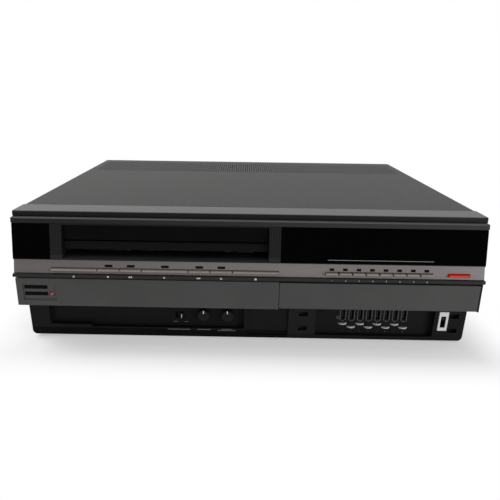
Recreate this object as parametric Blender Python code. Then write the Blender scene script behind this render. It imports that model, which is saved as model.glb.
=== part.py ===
"""A front-loading video cassette recorder, built piece by piece.

Metres, +Z up. The origin is the middle of the footprint on the surface the recorder stands on.
The front faces -Y and +X is on the right of someone who looks at the front.
Sizes of the front are measured back from "edge", the front edge of the top face, or down from
the top face; a "stand" is how far a face stands ahead of that edge.
"""

import math

import bmesh
import bpy
from mathutils import Matrix, Vector

# Overall size
overall_width = 0.435
overall_height = 0.1349
overall_depth = 0.350
cover_inset = 0.0002

# The cassette the machine is made for
cassette_width = 0.187
cassette_depth = 0.103
cassette_height = 0.025
cassette_side_play = 0.0015
cassette_head_play = 0.0016

# Gaps and walls that many pieces share
seat_gap = 0.0003
run_gap = 0.0004
overrun = 0.002
front_wall = 0.0025
sheet = 0.0012
cheek_wall = 0.0024

# Front, from the top face downwards
lip_drop = 0.0055
rail_height = 0.0052
window_gap = 0.0013
trim_height = 0.0121
label_height = 0.0033
label_border = 0.0003
label_recess = 0.00015
panel_gap = 0.0026
panel_height = 0.0272
foot_height = 0.0028

# Front, how far each face stands ahead of the edge of the top face
label_stand = 0.0142
rail_head_stand = 0.0043
rail_foot_stand = 0.0048
window_foot_stand = 0.0103
ridge_stand = 0.0093
trim_head_stand = 0.0083
trim_foot_stand = 0.0110
panel_stand = 0.0104
tray_head_set_back = 0.0117
tray_foot_set_back = 0.0142
front_depth = 0.027

# Front plates
window_thickness = 0.0020
trim_thickness = 0.0015
panel_thickness = 0.0024
plate_bevel = 0.0003

# Cassette slot
badge_width = 0.0352
strip_width = 0.0108
slot_head = 0.0011
slot_foot = 0.0023
sill_fall = 0.0016
tunnel_wall = 0.0016
tunnel_head_wall = 0.0010
tunnel_floor_wall = 0.0020
tunnel_depth = 0.012

# Cassette door
door_stand = 0.0020
door_thickness = 0.0022
door_foot_gap = 0.0054
door_top_gap = 0.0005
door_rib_height = 0.0076
door_rib_rise = 0.0007
door_groove = 0.0014
door_pin_radius = 0.0007
door_pin_reach = 0.0012

# Keys
key_gap = 0.00095
key_row_inset = 0.0003
key_row_end_inset = 0.0015
narrow_key_width = 0.0195
key_sill_height = 0.0025
key_height = 0.0020
key_head_gap = 0.0008
key_front_set_back = 0.0010
key_chamfer = 0.0004
key_flange = 0.0015
key_flange_rise = 0.0014
transport_wide_shares = (1, 0, 0, 1, 0, 0, 1)
programme_key_count = 8
programme_key_gap = 0.0014
programme_row_share = 0.523
programme_centre_share = 0.484
operate_key_share = 0.104
operate_centre_share = 0.875

# Indicator windows in the trim strip
lamp_height = 0.0024
lamp_drop = 0.0037
transport_lamp_width = 0.0072
programme_lamp_width = 0.0044

# Left button group, measured from the left end and from the top of the grey panel
group_margin = 0.0062
group_width = 0.0310
group_drop = 0.0052
group_height = 0.0170
group_depth = 0.0008
button_width = 0.0212
button_height = 0.0029
button_margin = 0.0016
button_drop = 0.00225
button_pitch = 0.0066
button_rise = 0.0004
lamp_radius = 0.0018
lamp_flange = 0.0006
lamp_body = 0.0060
lamp_margin = 0.0042

# Flap and the compartment behind it
flap_cheek = 0.0015
hinge_lug_radius = 0.0017
lug_skin_drop = 0.0014
bead_wall = 0.0012
hinge_radius = 0.0025
hinge_pin_radius = 0.0008
hinge_pin_reach = 0.0009
flap_top_gap = 0.0005
well_depth = 0.016
well_wall = 0.0016

# Lower control tray, across as shares of the overall width
bay_shares = (0.0453, 0.4930)
bay_step_share = 0.1400
plain_shares = (0.4930, 0.5950)
tuner_shares = (0.6593, 0.9290)
tray_border = 0.0035
tray_corner = 0.0045
bay_depth = 0.0080
bay_sill_height = 0.0097
bay_step_rise = 0.0023
plain_depth = 0.0010
tuner_wall = 0.0012
tuner_sill_height = 0.0042
pocket_width = 0.0088
pocket_height = 0.0048
pocket_depth = 0.0050
pocket_centre_share = 0.629
pocket_plate_gap = 0.00135
pocket_rise_shares = (0.271, 0.652)

# Controls in the bay
knob_rise_share = 0.554
input_rise_share = 0.505
input_switch_share = 0.345
tracking_knob_share = 0.400
picture_knob_share = 0.4548
knob_radius = 0.0058
knob_length = 0.0072
knob_shaft_radius = 0.0030
knob_shaft_length = 0.0050
knob_groove = 0.0008
knob_flutes = 16
switch_slot_width = 0.0102
switch_slot_height = 0.0062
switch_slot_depth = 0.0030
lever_width = 0.0032
lever_rise = 0.0032
lever_flange = 0.0008

# Plate with a slide switch at the right end of the tray
plate_share = 0.9502
plate_width = 0.0093
plate_height = 0.0209
plate_thickness = 0.0012
plate_rise_share = 0.514
plate_slot_width = 0.0050
plate_slot_height = 0.0125
plate_slot_drop = 0.0007
plate_lever_height = 0.0050
plate_well_depth = 0.0060

# Tuning wheels
wheel_count = 8
wheel_first_share = 0.7232
wheel_last_share = 0.8647
wheel_radius = 0.0047
wheel_tooth = 0.0004
wheel_teeth = 16
wheel_thickness = 0.0012
wheel_row_height = 0.0036
wheel_low_rise = 0.0112
wheel_spindle_radius = 0.0008
wheel_spindle_sides = 8
tuner_window_width = 0.0030
tuner_window_rise = 0.0203
tuner_pivot_depth = 0.0020

# Top trim, cover, base, rear panel and feet
top_sheet = 0.0016
lip_thickness = 0.0018
trim_nose = 0.0015
cover_corner = 0.0030
cover_foot_gap = 0.0006
vent_pitch = 0.00305
vent_width = 0.0007
vent_side_margin = 0.0110
vent_rear_margin = 0.0198
vent_length = 0.078
base_flange = 0.014
rear_recess = 0.0080
rear_sheet = 0.0015
foot_radius = 0.011
foot_taper = 0.0010
foot_side_inset = 0.045
foot_front_inset = 0.060
foot_rear_inset = 0.045

# Rear sockets
inlet_width = 0.0180
inlet_height = 0.0095
inlet_depth = 0.0120
inlet_wall = 0.0012
inlet_pin_radius = 0.0011
inlet_pin_spacing = 0.0086
inlet_side_inset = 0.045
inlet_rise = 0.030
socket_rise = 0.045
socket_reach = 0.0055
socket_radius = 0.0042
socket_bore = 0.0017
socket_pitch = 0.019
socket_count = 6
socket_sides = 12
modulator_depth = 0.030
modulator_height = 0.034
modulator_margin = 0.010

# Cassette lift
carriage_short = 0.007
carriage_front = 0.014
carriage_ledge = 0.014
carriage_open = 0.016
feed_travel = 0.020
drop_travel = 0.026
lift_pin_radius = 0.0015
lift_pin_reach = 0.0012
lift_pin_shares = (0.24, 0.80)
lift_pin_drop = 0.0120
slider_plate = 0.0015
slider_inset = 0.004
slider_bridge_share = 0.42
slider_foot = 0.008
rail_length = 0.060
slide_rail_height = 0.0030
rail_reach = 0.0012
rail_drop = 0.0040

# Deck
deck_clear = 0.0055
deck_thickness = 0.0020
deck_side_margin = 0.004
deck_rear_margin = 0.045
bracket_plate = 0.0015
bracket_rear_margin = 0.006
deck_leg = 0.010
deck_leg_inset = 0.012
drum_radius = 0.031
drum_offset = 0.006
drum_clear = 0.006
drum_tilt = math.radians(5.5)
drum_pedestal_height = 0.0060
drum_pedestal_radius = 0.024
drum_lower_height = 0.0170
drum_upper_height = 0.0180
drum_shaft_radius = 0.0040
drum_shaft_length = 0.0090
drum_cap_radius = 0.0120
drum_cap_height = 0.0040
drum_rim_width = 0.0040
drum_rim_depth = 0.0030
capstan_offset = 0.062
capstan_radius = 0.0015
capstan_rise = 0.026
capstan_behind = 0.012
flywheel_radius = 0.024
flywheel_height = 0.0070
flywheel_drop = 0.0030
pinch_radius = 0.0065
pinch_height = 0.018
pinch_rise = 0.005
pinch_gap = 0.0010
pinch_post_radius = 0.0012
reel_spacing = 0.092
reel_behind = 0.062
reel_radius = 0.016
reel_disc_height = 0.0030
reel_hub_radius = 0.0095
reel_hub_height = 0.0035
reel_spindle_radius = 0.0045
reel_spindle_height = 0.0100
reel_fin_count = 3
reel_fin_width = 0.0020
reel_fin_reach = 0.0068
reel_post_radius = 0.0014

# Board and transformer
board_thickness = 0.0016
board_rise = 0.016
board_front = 0.060
board_rear_gap = 0.0268
board_deck_gap = 0.0125
board_side_inset = 0.016
post_radius = 0.0035
post_inset = 0.010
transformer_width = 0.058
transformer_depth = 0.046
transformer_height = 0.048
transformer_side_inset = 0.100
transformer_rear_inset = 0.056
coil_share = 0.56
coil_stand = 0.008

# Heights that follow from the sizes above
z_top = overall_height
z_ledge = z_top - lip_drop
z_window_top = z_ledge - rail_height
z_slot_top = z_window_top - slot_head
slot_height = cassette_height + door_thickness + cassette_head_play
z_slot_floor = z_slot_top - slot_height
z_window_foot = z_slot_floor - slot_foot
z_trim_top = z_window_foot - window_gap
z_trim_foot = z_trim_top - trim_height
z_label_top = z_trim_foot - seat_gap
z_label_foot = z_trim_foot - label_height
z_panel_top = z_label_foot - panel_gap
z_panel_foot = z_panel_top - panel_height
z_tray_top = z_panel_foot - seat_gap
z_floor = foot_height + sheet
z_key_foot = z_trim_foot + key_sill_height
z_key_top = z_key_foot + key_height

# Depths that follow
y_front = -overall_depth / 2
y_edge = y_front + label_stand
y_rear = overall_depth / 2
y_behind_front = y_edge + front_depth
y_window_back = y_edge - rail_foot_stand + window_thickness + seat_gap
y_window_back_foot = y_edge - window_foot_stand + window_thickness + seat_gap
y_trim_back = y_edge - trim_head_stand + trim_thickness + seat_gap
y_trim_back_foot = y_edge - trim_foot_stand + trim_thickness + seat_gap
y_panel_front = y_edge - panel_stand
y_panel_back = y_panel_front + panel_thickness + seat_gap
y_wall_back = y_panel_front + 2 * hinge_radius + seat_gap + bead_wall
y_tray_head = y_edge + tray_head_set_back
y_tray_foot = y_edge + tray_foot_set_back
y_cover_front = y_behind_front + seat_gap
y_rear_panel = y_rear - rear_recess

# Widths that follow
half_width = overall_width / 2
cover_half = half_width - cover_inset
base_half = cover_half - sheet - seat_gap
slot_width = cassette_width + 2 * cassette_side_play
surround_width = slot_width + 2 * strip_width
surround_left = -half_width + badge_width
surround_right = surround_left + surround_width
slot_centre = surround_left + surround_width / 2
plate_end = half_width - seat_gap
right_start = surround_right + seat_gap
right_width = half_width - right_start
seam = surround_right - seat_gap
flap_left = right_start
flap_right = half_width - flap_cheek - seat_gap

FINISHES = {
    "painted_steel": ((0.118, 0.120, 0.116), 0.55, 0.0),
    "trim_grey": ((0.175, 0.180, 0.182), 0.50, 0.0),
    "black_plastic": ((0.012, 0.012, 0.013), 0.55, 0.0),
    "gloss_black": ((0.004, 0.004, 0.005), 0.08, 0.0),
    "silver_trim": ((0.190, 0.175, 0.172), 0.35, 0.3),
    "grey_plastic": ((0.064, 0.064, 0.062), 0.55, 0.0),
    "key_grey": ((0.230, 0.215, 0.205), 0.38, 0.0),
    "door_grey": ((0.030, 0.030, 0.031), 0.50, 0.0),
    "orange_key": ((0.800, 0.085, 0.040), 0.40, 0.0),
    "red_lens": ((0.640, 0.030, 0.040), 0.20, 0.0),
    "white_plastic": ((0.760, 0.760, 0.750), 0.50, 0.0),
    "wheel_white": ((0.620, 0.620, 0.610), 0.50, 0.0),
    "zinc_steel": ((0.420, 0.420, 0.400), 0.38, 1.0),
    "bright_steel": ((0.600, 0.600, 0.610), 0.22, 1.0),
    "rubber": ((0.015, 0.015, 0.015), 0.85, 0.0),
    "circuit_board": ((0.180, 0.115, 0.050), 0.60, 0.0),
    "transformer_iron": ((0.080, 0.080, 0.085), 0.55, 0.6),
}
SMOOTH_ANGLE = math.radians(35)
ROUND_STEPS = 28


def clear_scene():
    for obj in list(bpy.data.objects):
        bpy.data.objects.remove(obj, do_unlink=True)


def finish_material(name):
    found = bpy.data.materials.get(name)
    if found:
        return found
    colour, roughness, metallic = FINISHES[name]
    made = bpy.data.materials.new(name)
    made.use_nodes = True
    shader = made.node_tree.nodes["Principled BSDF"]
    shader.inputs["Base Color"].default_value = (*colour, 1)
    shader.inputs["Roughness"].default_value = roughness
    shader.inputs["Metallic"].default_value = metallic
    made.diffuse_color = (*colour, 1)
    return made


def across(share):
    """The x of a share of the overall width, from the left end."""
    return (share - 0.5) * overall_width


def add_box(mesh, low, high):
    """A box between two corners."""
    low, high = Vector(low), Vector(high)
    size = high - low
    place = Matrix.Translation((low + high) / 2) @ Matrix.Diagonal((*size, 1))
    bmesh.ops.create_cube(mesh, size=1, matrix=place)


def add_prism(mesh, outline, start, end, axis="X"):
    """An outline drawn out along an axis. Its points are (y, z), (x, z) or (x, y)."""
    to_space = {
        "X": lambda a, b, along: (along, a, b),
        "Y": lambda a, b, along: (a, along, b),
        "Z": lambda a, b, along: (a, b, along),
    }[axis]
    near = [mesh.verts.new(to_space(a, b, start)) for a, b in outline]
    far = [mesh.verts.new(to_space(a, b, end)) for a, b in outline]
    faces = [mesh.faces.new(near), mesh.faces.new(far)]
    for i in range(len(outline)):
        j = (i + 1) % len(outline)
        faces.append(mesh.faces.new((near[i], near[j], far[j], far[i])))
    bmesh.ops.recalc_face_normals(mesh, faces=faces)


def add_turned(mesh, profile, centre, axis="Z", steps=ROUND_STEPS, tilt=0.0):
    """A profile of (radius, height) points, first and last on the axis or joined, turned about it."""
    turn = {
        "X": Matrix.Rotation(math.pi / 2, 4, "Y"),
        "Y": Matrix.Rotation(math.pi / 2, 4, "X"),
        "Z": Matrix.Identity(4),
    }[axis]
    place = Matrix.Translation(centre) @ Matrix.Rotation(tilt, 4, "X") @ turn
    rings = []
    for radius, height in profile:
        count = steps if radius > 0 else 1
        angles = [2 * math.pi * i / steps for i in range(count)]
        points = [(radius * math.cos(a), radius * math.sin(a), height) for a in angles]
        rings.append([mesh.verts.new(place @ Vector(point)) for point in points])
    closed_profile = profile[0][0] > 0
    last = len(rings) if closed_profile else len(rings) - 1
    faces = []
    for i in range(last):
        lower, upper = rings[i], rings[(i + 1) % len(rings)]
        for k in range(steps):
            ring = [lower[k % len(lower)], lower[(k + 1) % len(lower)]]
            ring += [upper[(k + 1) % len(upper)], upper[k % len(upper)]]
            corners = list(dict.fromkeys(ring))
            faces.append(mesh.faces.new(corners))
    bmesh.ops.recalc_face_normals(mesh, faces=faces)


def rod_profile(radius, low, high):
    return [(0, low), (radius, low), (radius, high), (0, high)]


def make_object(name, mesh, finish, origin=(0, 0, 0), smooth=False):
    """The mesh as a named object whose origin is at the given place."""
    bmesh.ops.translate(mesh, vec=-Vector(origin), verts=mesh.verts)
    data = bpy.data.meshes.new(name)
    mesh.to_mesh(data)
    mesh.free()
    if finish:
        data.materials.append(finish_material(finish))
    obj = bpy.data.objects.new(name, data)
    obj.location = origin
    bpy.context.scene.collection.objects.link(obj)
    if smooth:
        data.shade_smooth()
        data.set_sharp_from_angle(angle=SMOOTH_ANGLE)
    return obj


def helper(name, build):
    """A hidden shape for a Boolean, drawn by build(mesh)."""
    mesh = bmesh.new()
    build(mesh)
    obj = make_object(name, mesh, None)
    obj.hide_render = True
    obj.display_type = "WIRE"
    return obj


def combine(obj, operation, label, build):
    shape = helper(f"{obj.name}_{label}", build)
    step = obj.modifiers.new(label, "BOOLEAN")
    step.operation = operation
    step.object = shape
    step.solver = "EXACT"


def cut(obj, label, build):
    combine(obj, "DIFFERENCE", label, build)


def join(obj, label, build):
    combine(obj, "UNION", label, build)


def boxes(*corners):
    """A builder of several boxes that don't meet."""

    def build(mesh):
        for low, high in corners:
            add_box(mesh, low, high)

    return build


def rods(radius, places, axis, low, high, steps=ROUND_STEPS):
    """A builder of like rods along one axis."""

    def build(mesh):
        for place in places:
            add_turned(mesh, rod_profile(radius, low, high), place, axis, steps)

    return build


def soften(obj, width=plate_bevel, segments=1):
    edge = obj.modifiers.new("soft_edges", "BEVEL")
    edge.width = width
    edge.segments = segments
    edge.limit_method = "ANGLE"
    edge.angle_limit = SMOOTH_ANGLE


def slope(head, foot, z_head, z_foot, z):
    """The y at height z on a face that leans from head to foot."""
    return head + (foot - head) * (z_head - z) / (z_head - z_foot)


def tray_face(z):
    return slope(y_tray_head, y_tray_foot, z_tray_top, foot_height, z)


def tray_height(share):
    return foot_height + share * (z_tray_top - foot_height)


def window_outline():
    """The leaning section of the gloss windows and of the strips beside the slot."""
    head = y_edge - rail_foot_stand
    foot = y_edge - window_foot_stand
    return [
        (head, z_window_top),
        (foot, z_window_foot),
        (foot + window_thickness, z_window_foot),
        (head + window_thickness, z_window_top),
    ]


def key_spans():
    """The left and right ends of the seven transport keys, the wide ones sharing what is left."""
    count = len(transport_wide_shares)
    wide = sum(transport_wide_shares)
    row = surround_width - key_row_inset - key_row_end_inset
    free = row - (count - 1) * key_gap - (count - wide) * narrow_key_width
    left = surround_left + key_row_inset
    spans = []
    for is_wide in transport_wide_shares:
        width = free / wide if is_wide else narrow_key_width
        spans.append((left, left + width))
        left += width + key_gap
    return spans


def programme_spans():
    row = programme_row_share * right_width
    pitch = (row + programme_key_gap) / programme_key_count
    first = right_start + programme_centre_share * right_width - row / 2
    starts = [first + i * pitch for i in range(programme_key_count)]
    return [(start, start + pitch - programme_key_gap) for start in starts]


def operate_span():
    centre = right_start + operate_centre_share * right_width
    half = operate_key_share * right_width / 2
    return centre - half, centre + half


def key_rows():
    """The outer ends of the three openings that the keys come through."""
    transport, programme = key_spans(), programme_spans()
    return [
        (transport[0][0], transport[-1][1]),
        (programme[0][0], programme[-1][1]),
        operate_span(),
    ]


def button_places():
    """The middle of each of the two left buttons."""
    x = -half_width + group_margin + button_margin + button_width / 2
    top = z_panel_top - group_drop - button_drop - button_height / 2
    return [(x, top), (x, top - button_pitch)]


def lamp_place():
    x = -half_width + group_margin + group_width - lamp_margin
    return x, button_places()[1][1]


def fascia_front():
    """The front line of the fascia's section, from the ledge down."""
    return [
        (y_edge - rail_head_stand, z_ledge),
        (y_edge - rail_foot_stand, z_window_top + seat_gap),
        (y_window_back, z_window_top + seat_gap),
        (y_window_back_foot, z_window_foot - seat_gap),
        (y_edge - ridge_stand, z_window_foot - seat_gap),
        (y_edge - ridge_stand, z_trim_top + seat_gap),
        (y_trim_back, z_trim_top + seat_gap),
        (y_trim_back_foot, z_label_top),
        (y_front, z_label_top),
        (y_front, z_label_foot),
        (y_panel_back, z_label_foot),
        (y_panel_back, z_panel_foot),
        (y_behind_front, z_panel_foot),
    ]


def add_end_cheeks(obj, front):
    z_trim_seat = z_top - top_sheet - seat_gap
    y_lip_back = y_edge + lip_thickness + seat_gap
    cheek = front + [(y_behind_front, z_trim_seat), (y_lip_back, z_trim_seat), (y_lip_back, z_ledge)]

    def end_cheeks(mesh):
        add_prism(mesh, cheek, -half_width, -half_width + cheek_wall)
        add_prism(mesh, cheek, half_width - cheek_wall, half_width)

    join(obj, "cheeks", end_cheeks)


def add_flap_well(obj):
    """The compartment behind the flap, and the notch that the flap's bead turns in."""
    well_left = flap_left + lug_span()
    well_right = flap_right
    well_top = z_panel_top - seat_gap
    well_foot = z_panel_foot + 2 * hinge_radius
    well_back = y_wall_back + well_depth
    low = (well_left - well_wall, y_panel_back + seat_gap, well_foot - well_wall)
    high = (well_right + well_wall, well_back + well_wall, well_top + well_wall)
    join(obj, "well_walls", boxes((low, high)))
    low = (well_left, y_front, well_foot)
    high = (well_right, well_back, well_top)
    cut(obj, "well", boxes((low, high)))
    low = (flap_left - seat_gap, y_front - overrun, z_panel_foot - overrun)
    high = (flap_right + seat_gap, y_hinge_bead(), well_foot + overrun)
    cut(obj, "hinge_notch", boxes((low, high)))


def y_hinge_bead():
    return y_panel_front + 2 * hinge_radius + seat_gap


def add_flap_hinge(obj):
    """The lug at the left, the cheek at the right and the bores for the flap's pins."""
    y_hinge, z_hinge = hinge_axis()
    lug_left = flap_left + seat_gap

    def hinge_lug(mesh):
        lug_right = lug_left + flap_cheek
        shank = [
            (y_hinge, z_hinge - hinge_lug_radius),
            (y_hinge, z_hinge + hinge_lug_radius),
            (y_wall_back - seat_gap, z_hinge + hinge_lug_radius),
            (y_wall_back - seat_gap, z_hinge - hinge_lug_radius),
        ]
        add_prism(mesh, shank, lug_left, lug_right)

    def hinge_lug_end(mesh):
        place = (lug_left, y_hinge, z_hinge)
        add_turned(mesh, rod_profile(hinge_lug_radius, 0, flap_cheek), place, "X", steps=16)

    join(obj, "hinge_lug", hinge_lug)
    join(obj, "hinge_lug_end", hinge_lug_end)
    low = (flap_right + seat_gap, y_panel_front, z_panel_foot + seat_gap)
    high = (half_width, y_wall_back - seat_gap, z_label_foot + seat_gap)
    join(obj, "right_cheek", boxes((low, high)))
    start = flap_left + lug_span() - hinge_pin_reach - 2 * seat_gap
    end = flap_right + hinge_pin_reach + seat_gap
    bore = rods(hinge_pin_radius + seat_gap, [(0, y_hinge, z_hinge)], "X", start, end, steps=12)
    cut(obj, "hinge_bores", bore)


def cut_slot_opening(obj):
    half = slot_width / 2 + tunnel_wall + seat_gap
    low = (slot_centre - half, y_front, z_slot_floor - tunnel_floor_wall - seat_gap)
    high = (slot_centre + half, y_edge + tunnel_depth, z_slot_top + tunnel_head_wall + seat_gap)
    cut(obj, "slot_opening", boxes((low, high)))


def cut_key_openings(obj):
    openings = [
        (
            (left - run_gap, y_trim_back_foot - seat_gap, z_key_foot - run_gap),
            (right + run_gap, y_wall_back + overrun, z_key_top + run_gap),
        )
        for left, right in key_rows()
    ]
    cut(obj, "key_openings", boxes(*openings))


def cut_button_openings(obj):
    """The opening behind the two left buttons and the bore behind the lamp."""
    (x_button, z_upper), (_, z_lower) = button_places()
    half = (button_width / 2 + run_gap, button_height / 2 + run_gap)
    low = (x_button - half[0], y_panel_back - overrun, z_lower - half[1])
    high = (x_button + half[0], y_wall_back + overrun, z_upper + half[1])
    cut(obj, "button_opening", boxes((low, high)))
    x_lamp, z_lamp = lamp_place()
    depth = y_panel_back - y_wall_back - overrun
    places = [(x_lamp, y_panel_back, z_lamp)]
    bore = rods(lamp_radius + lamp_flange + 2 * seat_gap, places, "Y", depth, overrun, steps=16)
    cut(obj, "lamp_opening", bore)


def cut_label_recess(obj):
    """A shallow step in the label rail, which keeps its print from rubbing."""
    low = (-half_width + cheek_wall, y_front - overrun, z_label_foot + label_border)
    high = (half_width - cheek_wall, y_front + label_recess, z_label_top - label_border)
    cut(obj, "label_recess", boxes((low, high)))


def make_front_fascia():
    """The moulding across the whole front that the windows, strip, panels and keys sit in."""
    front = fascia_front()
    back = [
        (y_behind_front, z_panel_foot + front_wall),
        (y_wall_back, z_panel_foot + front_wall),
        (y_wall_back, z_trim_top),
        (y_window_back + front_wall, z_window_top),
        (y_window_back + front_wall, z_ledge - front_wall),
        (y_behind_front, z_ledge - front_wall),
        (y_behind_front, z_ledge),
    ]
    mesh = bmesh.new()
    add_prism(mesh, front + back, -half_width, half_width)
    obj = make_object("front_fascia", mesh, "black_plastic")
    add_end_cheeks(obj, front)
    add_flap_well(obj)
    add_flap_hinge(obj)
    cut_slot_opening(obj)
    cut_key_openings(obj)
    cut_button_openings(obj)
    cut_label_recess(obj)
    return obj


def make_window(name, left, right):
    mesh = bmesh.new()
    add_prism(mesh, window_outline(), left, right)
    obj = make_object(name, mesh, "gloss_black")
    soften(obj)
    return obj


def make_slot_surround():
    mesh = bmesh.new()
    add_prism(mesh, window_outline(), surround_left, surround_right)
    obj = make_object("slot_surround", mesh, "black_plastic")
    z_foot = z_slot_floor - tunnel_floor_wall
    z_head = z_slot_top + tunnel_head_wall
    head = y_edge - rail_foot_stand + window_thickness / 2
    foot = y_edge - window_foot_stand + window_thickness / 2
    outline = [
        (slope(head, foot, z_window_top, z_window_foot, z_head), z_head),
        (slope(head, foot, z_window_top, z_window_foot, z_foot), z_foot),
        (y_edge + tunnel_depth, z_foot),
        (y_edge + tunnel_depth, z_head),
    ]
    half = slot_width / 2

    def tunnel(mesh):
        add_prism(mesh, outline, slot_centre - half - tunnel_wall, slot_centre + half + tunnel_wall)

    join(obj, "tunnel", tunnel)
    y_far = y_edge + 2 * tunnel_depth
    y_near = y_front - overrun
    z_sill = z_slot_floor - sill_fall
    opening = [
        (y_near, z_slot_top),
        (y_near, z_sill),
        (y_edge - window_foot_stand, z_sill),
        (y_edge, z_slot_floor),
        (y_far, z_slot_floor),
        (y_far, z_slot_top),
    ]

    def mouth(mesh):
        add_prism(mesh, opening, slot_centre - half, slot_centre + half)

    cut(obj, "mouth", mouth)
    y_hinge, z_hinge = door_axis()
    cut(
        obj,
        "door_bores",
        rods(
            door_pin_radius + seat_gap,
            [(slot_centre, y_hinge, z_hinge)],
            "X",
            -half - tunnel_wall - overrun,
            half + tunnel_wall + overrun,
            steps=12,
        ),
    )
    return obj


def door_axis():
    return (
        y_edge - door_stand + door_thickness / 2,
        z_slot_top - door_top_gap - door_thickness / 2,
    )


def make_cassette_door():
    y_hinge, z_hinge = door_axis()
    radius = door_thickness / 2
    y_face = y_hinge - radius
    z_foot = z_slot_floor + door_foot_gap
    z_rib = z_foot + door_rib_height
    top = [
        (y_hinge - radius * math.cos(a), z_hinge + radius * math.sin(a))
        for a in (math.pi * i / 6 for i in range(7))
    ]
    outline = top + [
        (y_hinge + radius, z_foot),
        (y_face - door_rib_rise, z_foot),
        (y_face - door_rib_rise, z_rib - door_groove),
        (y_face + door_groove / 2, z_rib),
        (y_face + door_groove / 2, z_rib + door_groove),
        (y_face, z_rib + door_groove),
    ]
    mesh = bmesh.new()
    half = slot_width / 2 - run_gap
    add_prism(mesh, outline, slot_centre - half, slot_centre + half)
    obj = make_object("cassette_door", mesh, "door_grey", (slot_centre, y_hinge, z_hinge))
    reach = slot_width / 2 + door_pin_reach
    join(
        obj,
        "pins",
        rods(door_pin_radius, [(slot_centre, y_hinge, z_hinge)], "X", -reach, reach, steps=12),
    )
    return obj


def make_trim_strip():
    head = y_edge - trim_head_stand
    foot = y_edge - trim_foot_stand
    outline = [
        (head, z_trim_top),
        (foot, z_trim_foot),
        (foot + trim_thickness, z_trim_foot),
        (head + trim_thickness, z_trim_top),
    ]
    mesh = bmesh.new()
    add_prism(mesh, outline, -plate_end, plate_end)
    obj = make_object("trim_strip", mesh, "silver_trim")
    y_near = y_front - overrun
    y_far = y_edge
    cut(
        obj,
        "key_windows",
        boxes(
            *(
                (
                    (left - run_gap, y_near, z_key_foot - run_gap),
                    (right + run_gap, y_far, z_key_top + key_head_gap),
                )
                for left, right in key_rows()
            )
        ),
    )
    z_lamp = z_trim_top - lamp_drop
    lamps = []
    for left, right in key_spans()[1:-1]:
        middle = (left + right) / 2
        lamps.append((middle - transport_lamp_width / 2, middle + transport_lamp_width / 2))
    for left, right in programme_spans():
        middle = (left + right) / 2
        lamps.append((middle - programme_lamp_width / 2, middle + programme_lamp_width / 2))
    cut(
        obj,
        "lamp_windows",
        boxes(
            *(
                ((left, y_near, z_lamp - lamp_height), (right, y_far, z_lamp))
                for left, right in lamps
            )
        ),
    )
    return obj


def make_key(name, left, right, finish):
    """A slim bar that slides back through the fascia, held by a flange behind the wall."""
    y_key = y_front + key_front_set_back
    y_flange = y_wall_back + seat_gap
    outline = [
        (y_key + key_chamfer, z_key_foot),
        (y_key, z_key_foot + key_chamfer),
        (y_key, z_key_top - key_chamfer),
        (y_key + key_chamfer, z_key_top),
        (y_flange, z_key_top),
        (y_flange, z_key_top + key_flange_rise),
        (y_flange + key_flange, z_key_top + key_flange_rise),
        (y_flange + key_flange, z_key_foot - key_flange_rise),
        (y_flange, z_key_foot - key_flange_rise),
        (y_flange, z_key_foot),
    ]
    mesh = bmesh.new()
    add_prism(mesh, outline, left, right)
    origin = ((left + right) / 2, y_key, (z_key_foot + z_key_top) / 2)
    return make_object(name, mesh, finish, origin)


def make_left_panel():
    mesh = bmesh.new()
    add_box(
        mesh,
        (-plate_end, y_panel_front, z_panel_foot),
        (seam, y_panel_front + panel_thickness, z_panel_top),
    )
    obj = make_object("left_panel", mesh, "grey_plastic")
    group_left = -half_width + group_margin
    group_top = z_panel_top - group_drop
    y_near = y_front - overrun
    y_far = y_panel_front + panel_thickness + overrun
    cut(
        obj,
        "button_recess",
        boxes(
            (
                (group_left, y_near, group_top - group_height),
                (group_left + group_width, y_panel_front + group_depth, group_top),
            )
        ),
    )
    half = (button_width / 2 + run_gap, button_height / 2 + run_gap)
    cut(
        obj,
        "button_holes",
        boxes(
            *(
                ((x - half[0], y_near, z - half[1]), (x + half[0], y_far, z + half[1]))
                for x, z in button_places()
            )
        ),
    )
    x, z = lamp_place()
    cut(
        obj,
        "lamp_hole",
        rods(lamp_radius + seat_gap, [(x, y_panel_front, z)], "Y", -panel_thickness * 2, overrun, 16),
    )
    return obj


def make_left_button(name, place):
    x, z = place
    y_button = y_panel_front + group_depth - button_rise
    y_flange = y_wall_back + seat_gap
    half_high = button_height / 2
    outline = [
        (y_button, z - half_high),
        (y_button, z + half_high),
        (y_flange, z + half_high),
        (y_flange, z + half_high + run_gap * 2),
        (y_flange + key_flange, z + half_high + run_gap * 2),
        (y_flange + key_flange, z - half_high - run_gap * 2),
        (y_flange, z - half_high - run_gap * 2),
        (y_flange, z - half_high),
    ]
    mesh = bmesh.new()
    add_prism(mesh, outline, x - button_width / 2, x + button_width / 2)
    return make_object(name, mesh, "black_plastic", (x, y_button, z))


def make_standby_lamp():
    x, z = lamp_place()
    mesh = bmesh.new()
    dome = [
        (lamp_radius * math.cos(a), lamp_radius * math.sin(a))
        for a in (math.pi / 2 * i / 4 for i in range(5))
    ]
    y_seat = y_panel_front + group_depth
    y_back = y_panel_front + panel_thickness + seat_gap
    flange_height = y_seat - y_back
    profile = [
        (0, -lamp_body),
        (lamp_radius, -lamp_body),
        (lamp_radius, flange_height - lamp_flange),
        (lamp_radius + lamp_flange, flange_height - lamp_flange),
        (lamp_radius + lamp_flange, flange_height),
        (lamp_radius, flange_height),
    ]
    profile += dome[:-1] + [(0, lamp_radius)]
    add_turned(mesh, profile, (x, y_seat, z), "Y", 16)
    return make_object("standby_lamp", mesh, "red_lens", smooth=True)


def hinge_axis():
    return y_panel_front + hinge_radius, z_panel_foot + hinge_radius


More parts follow.
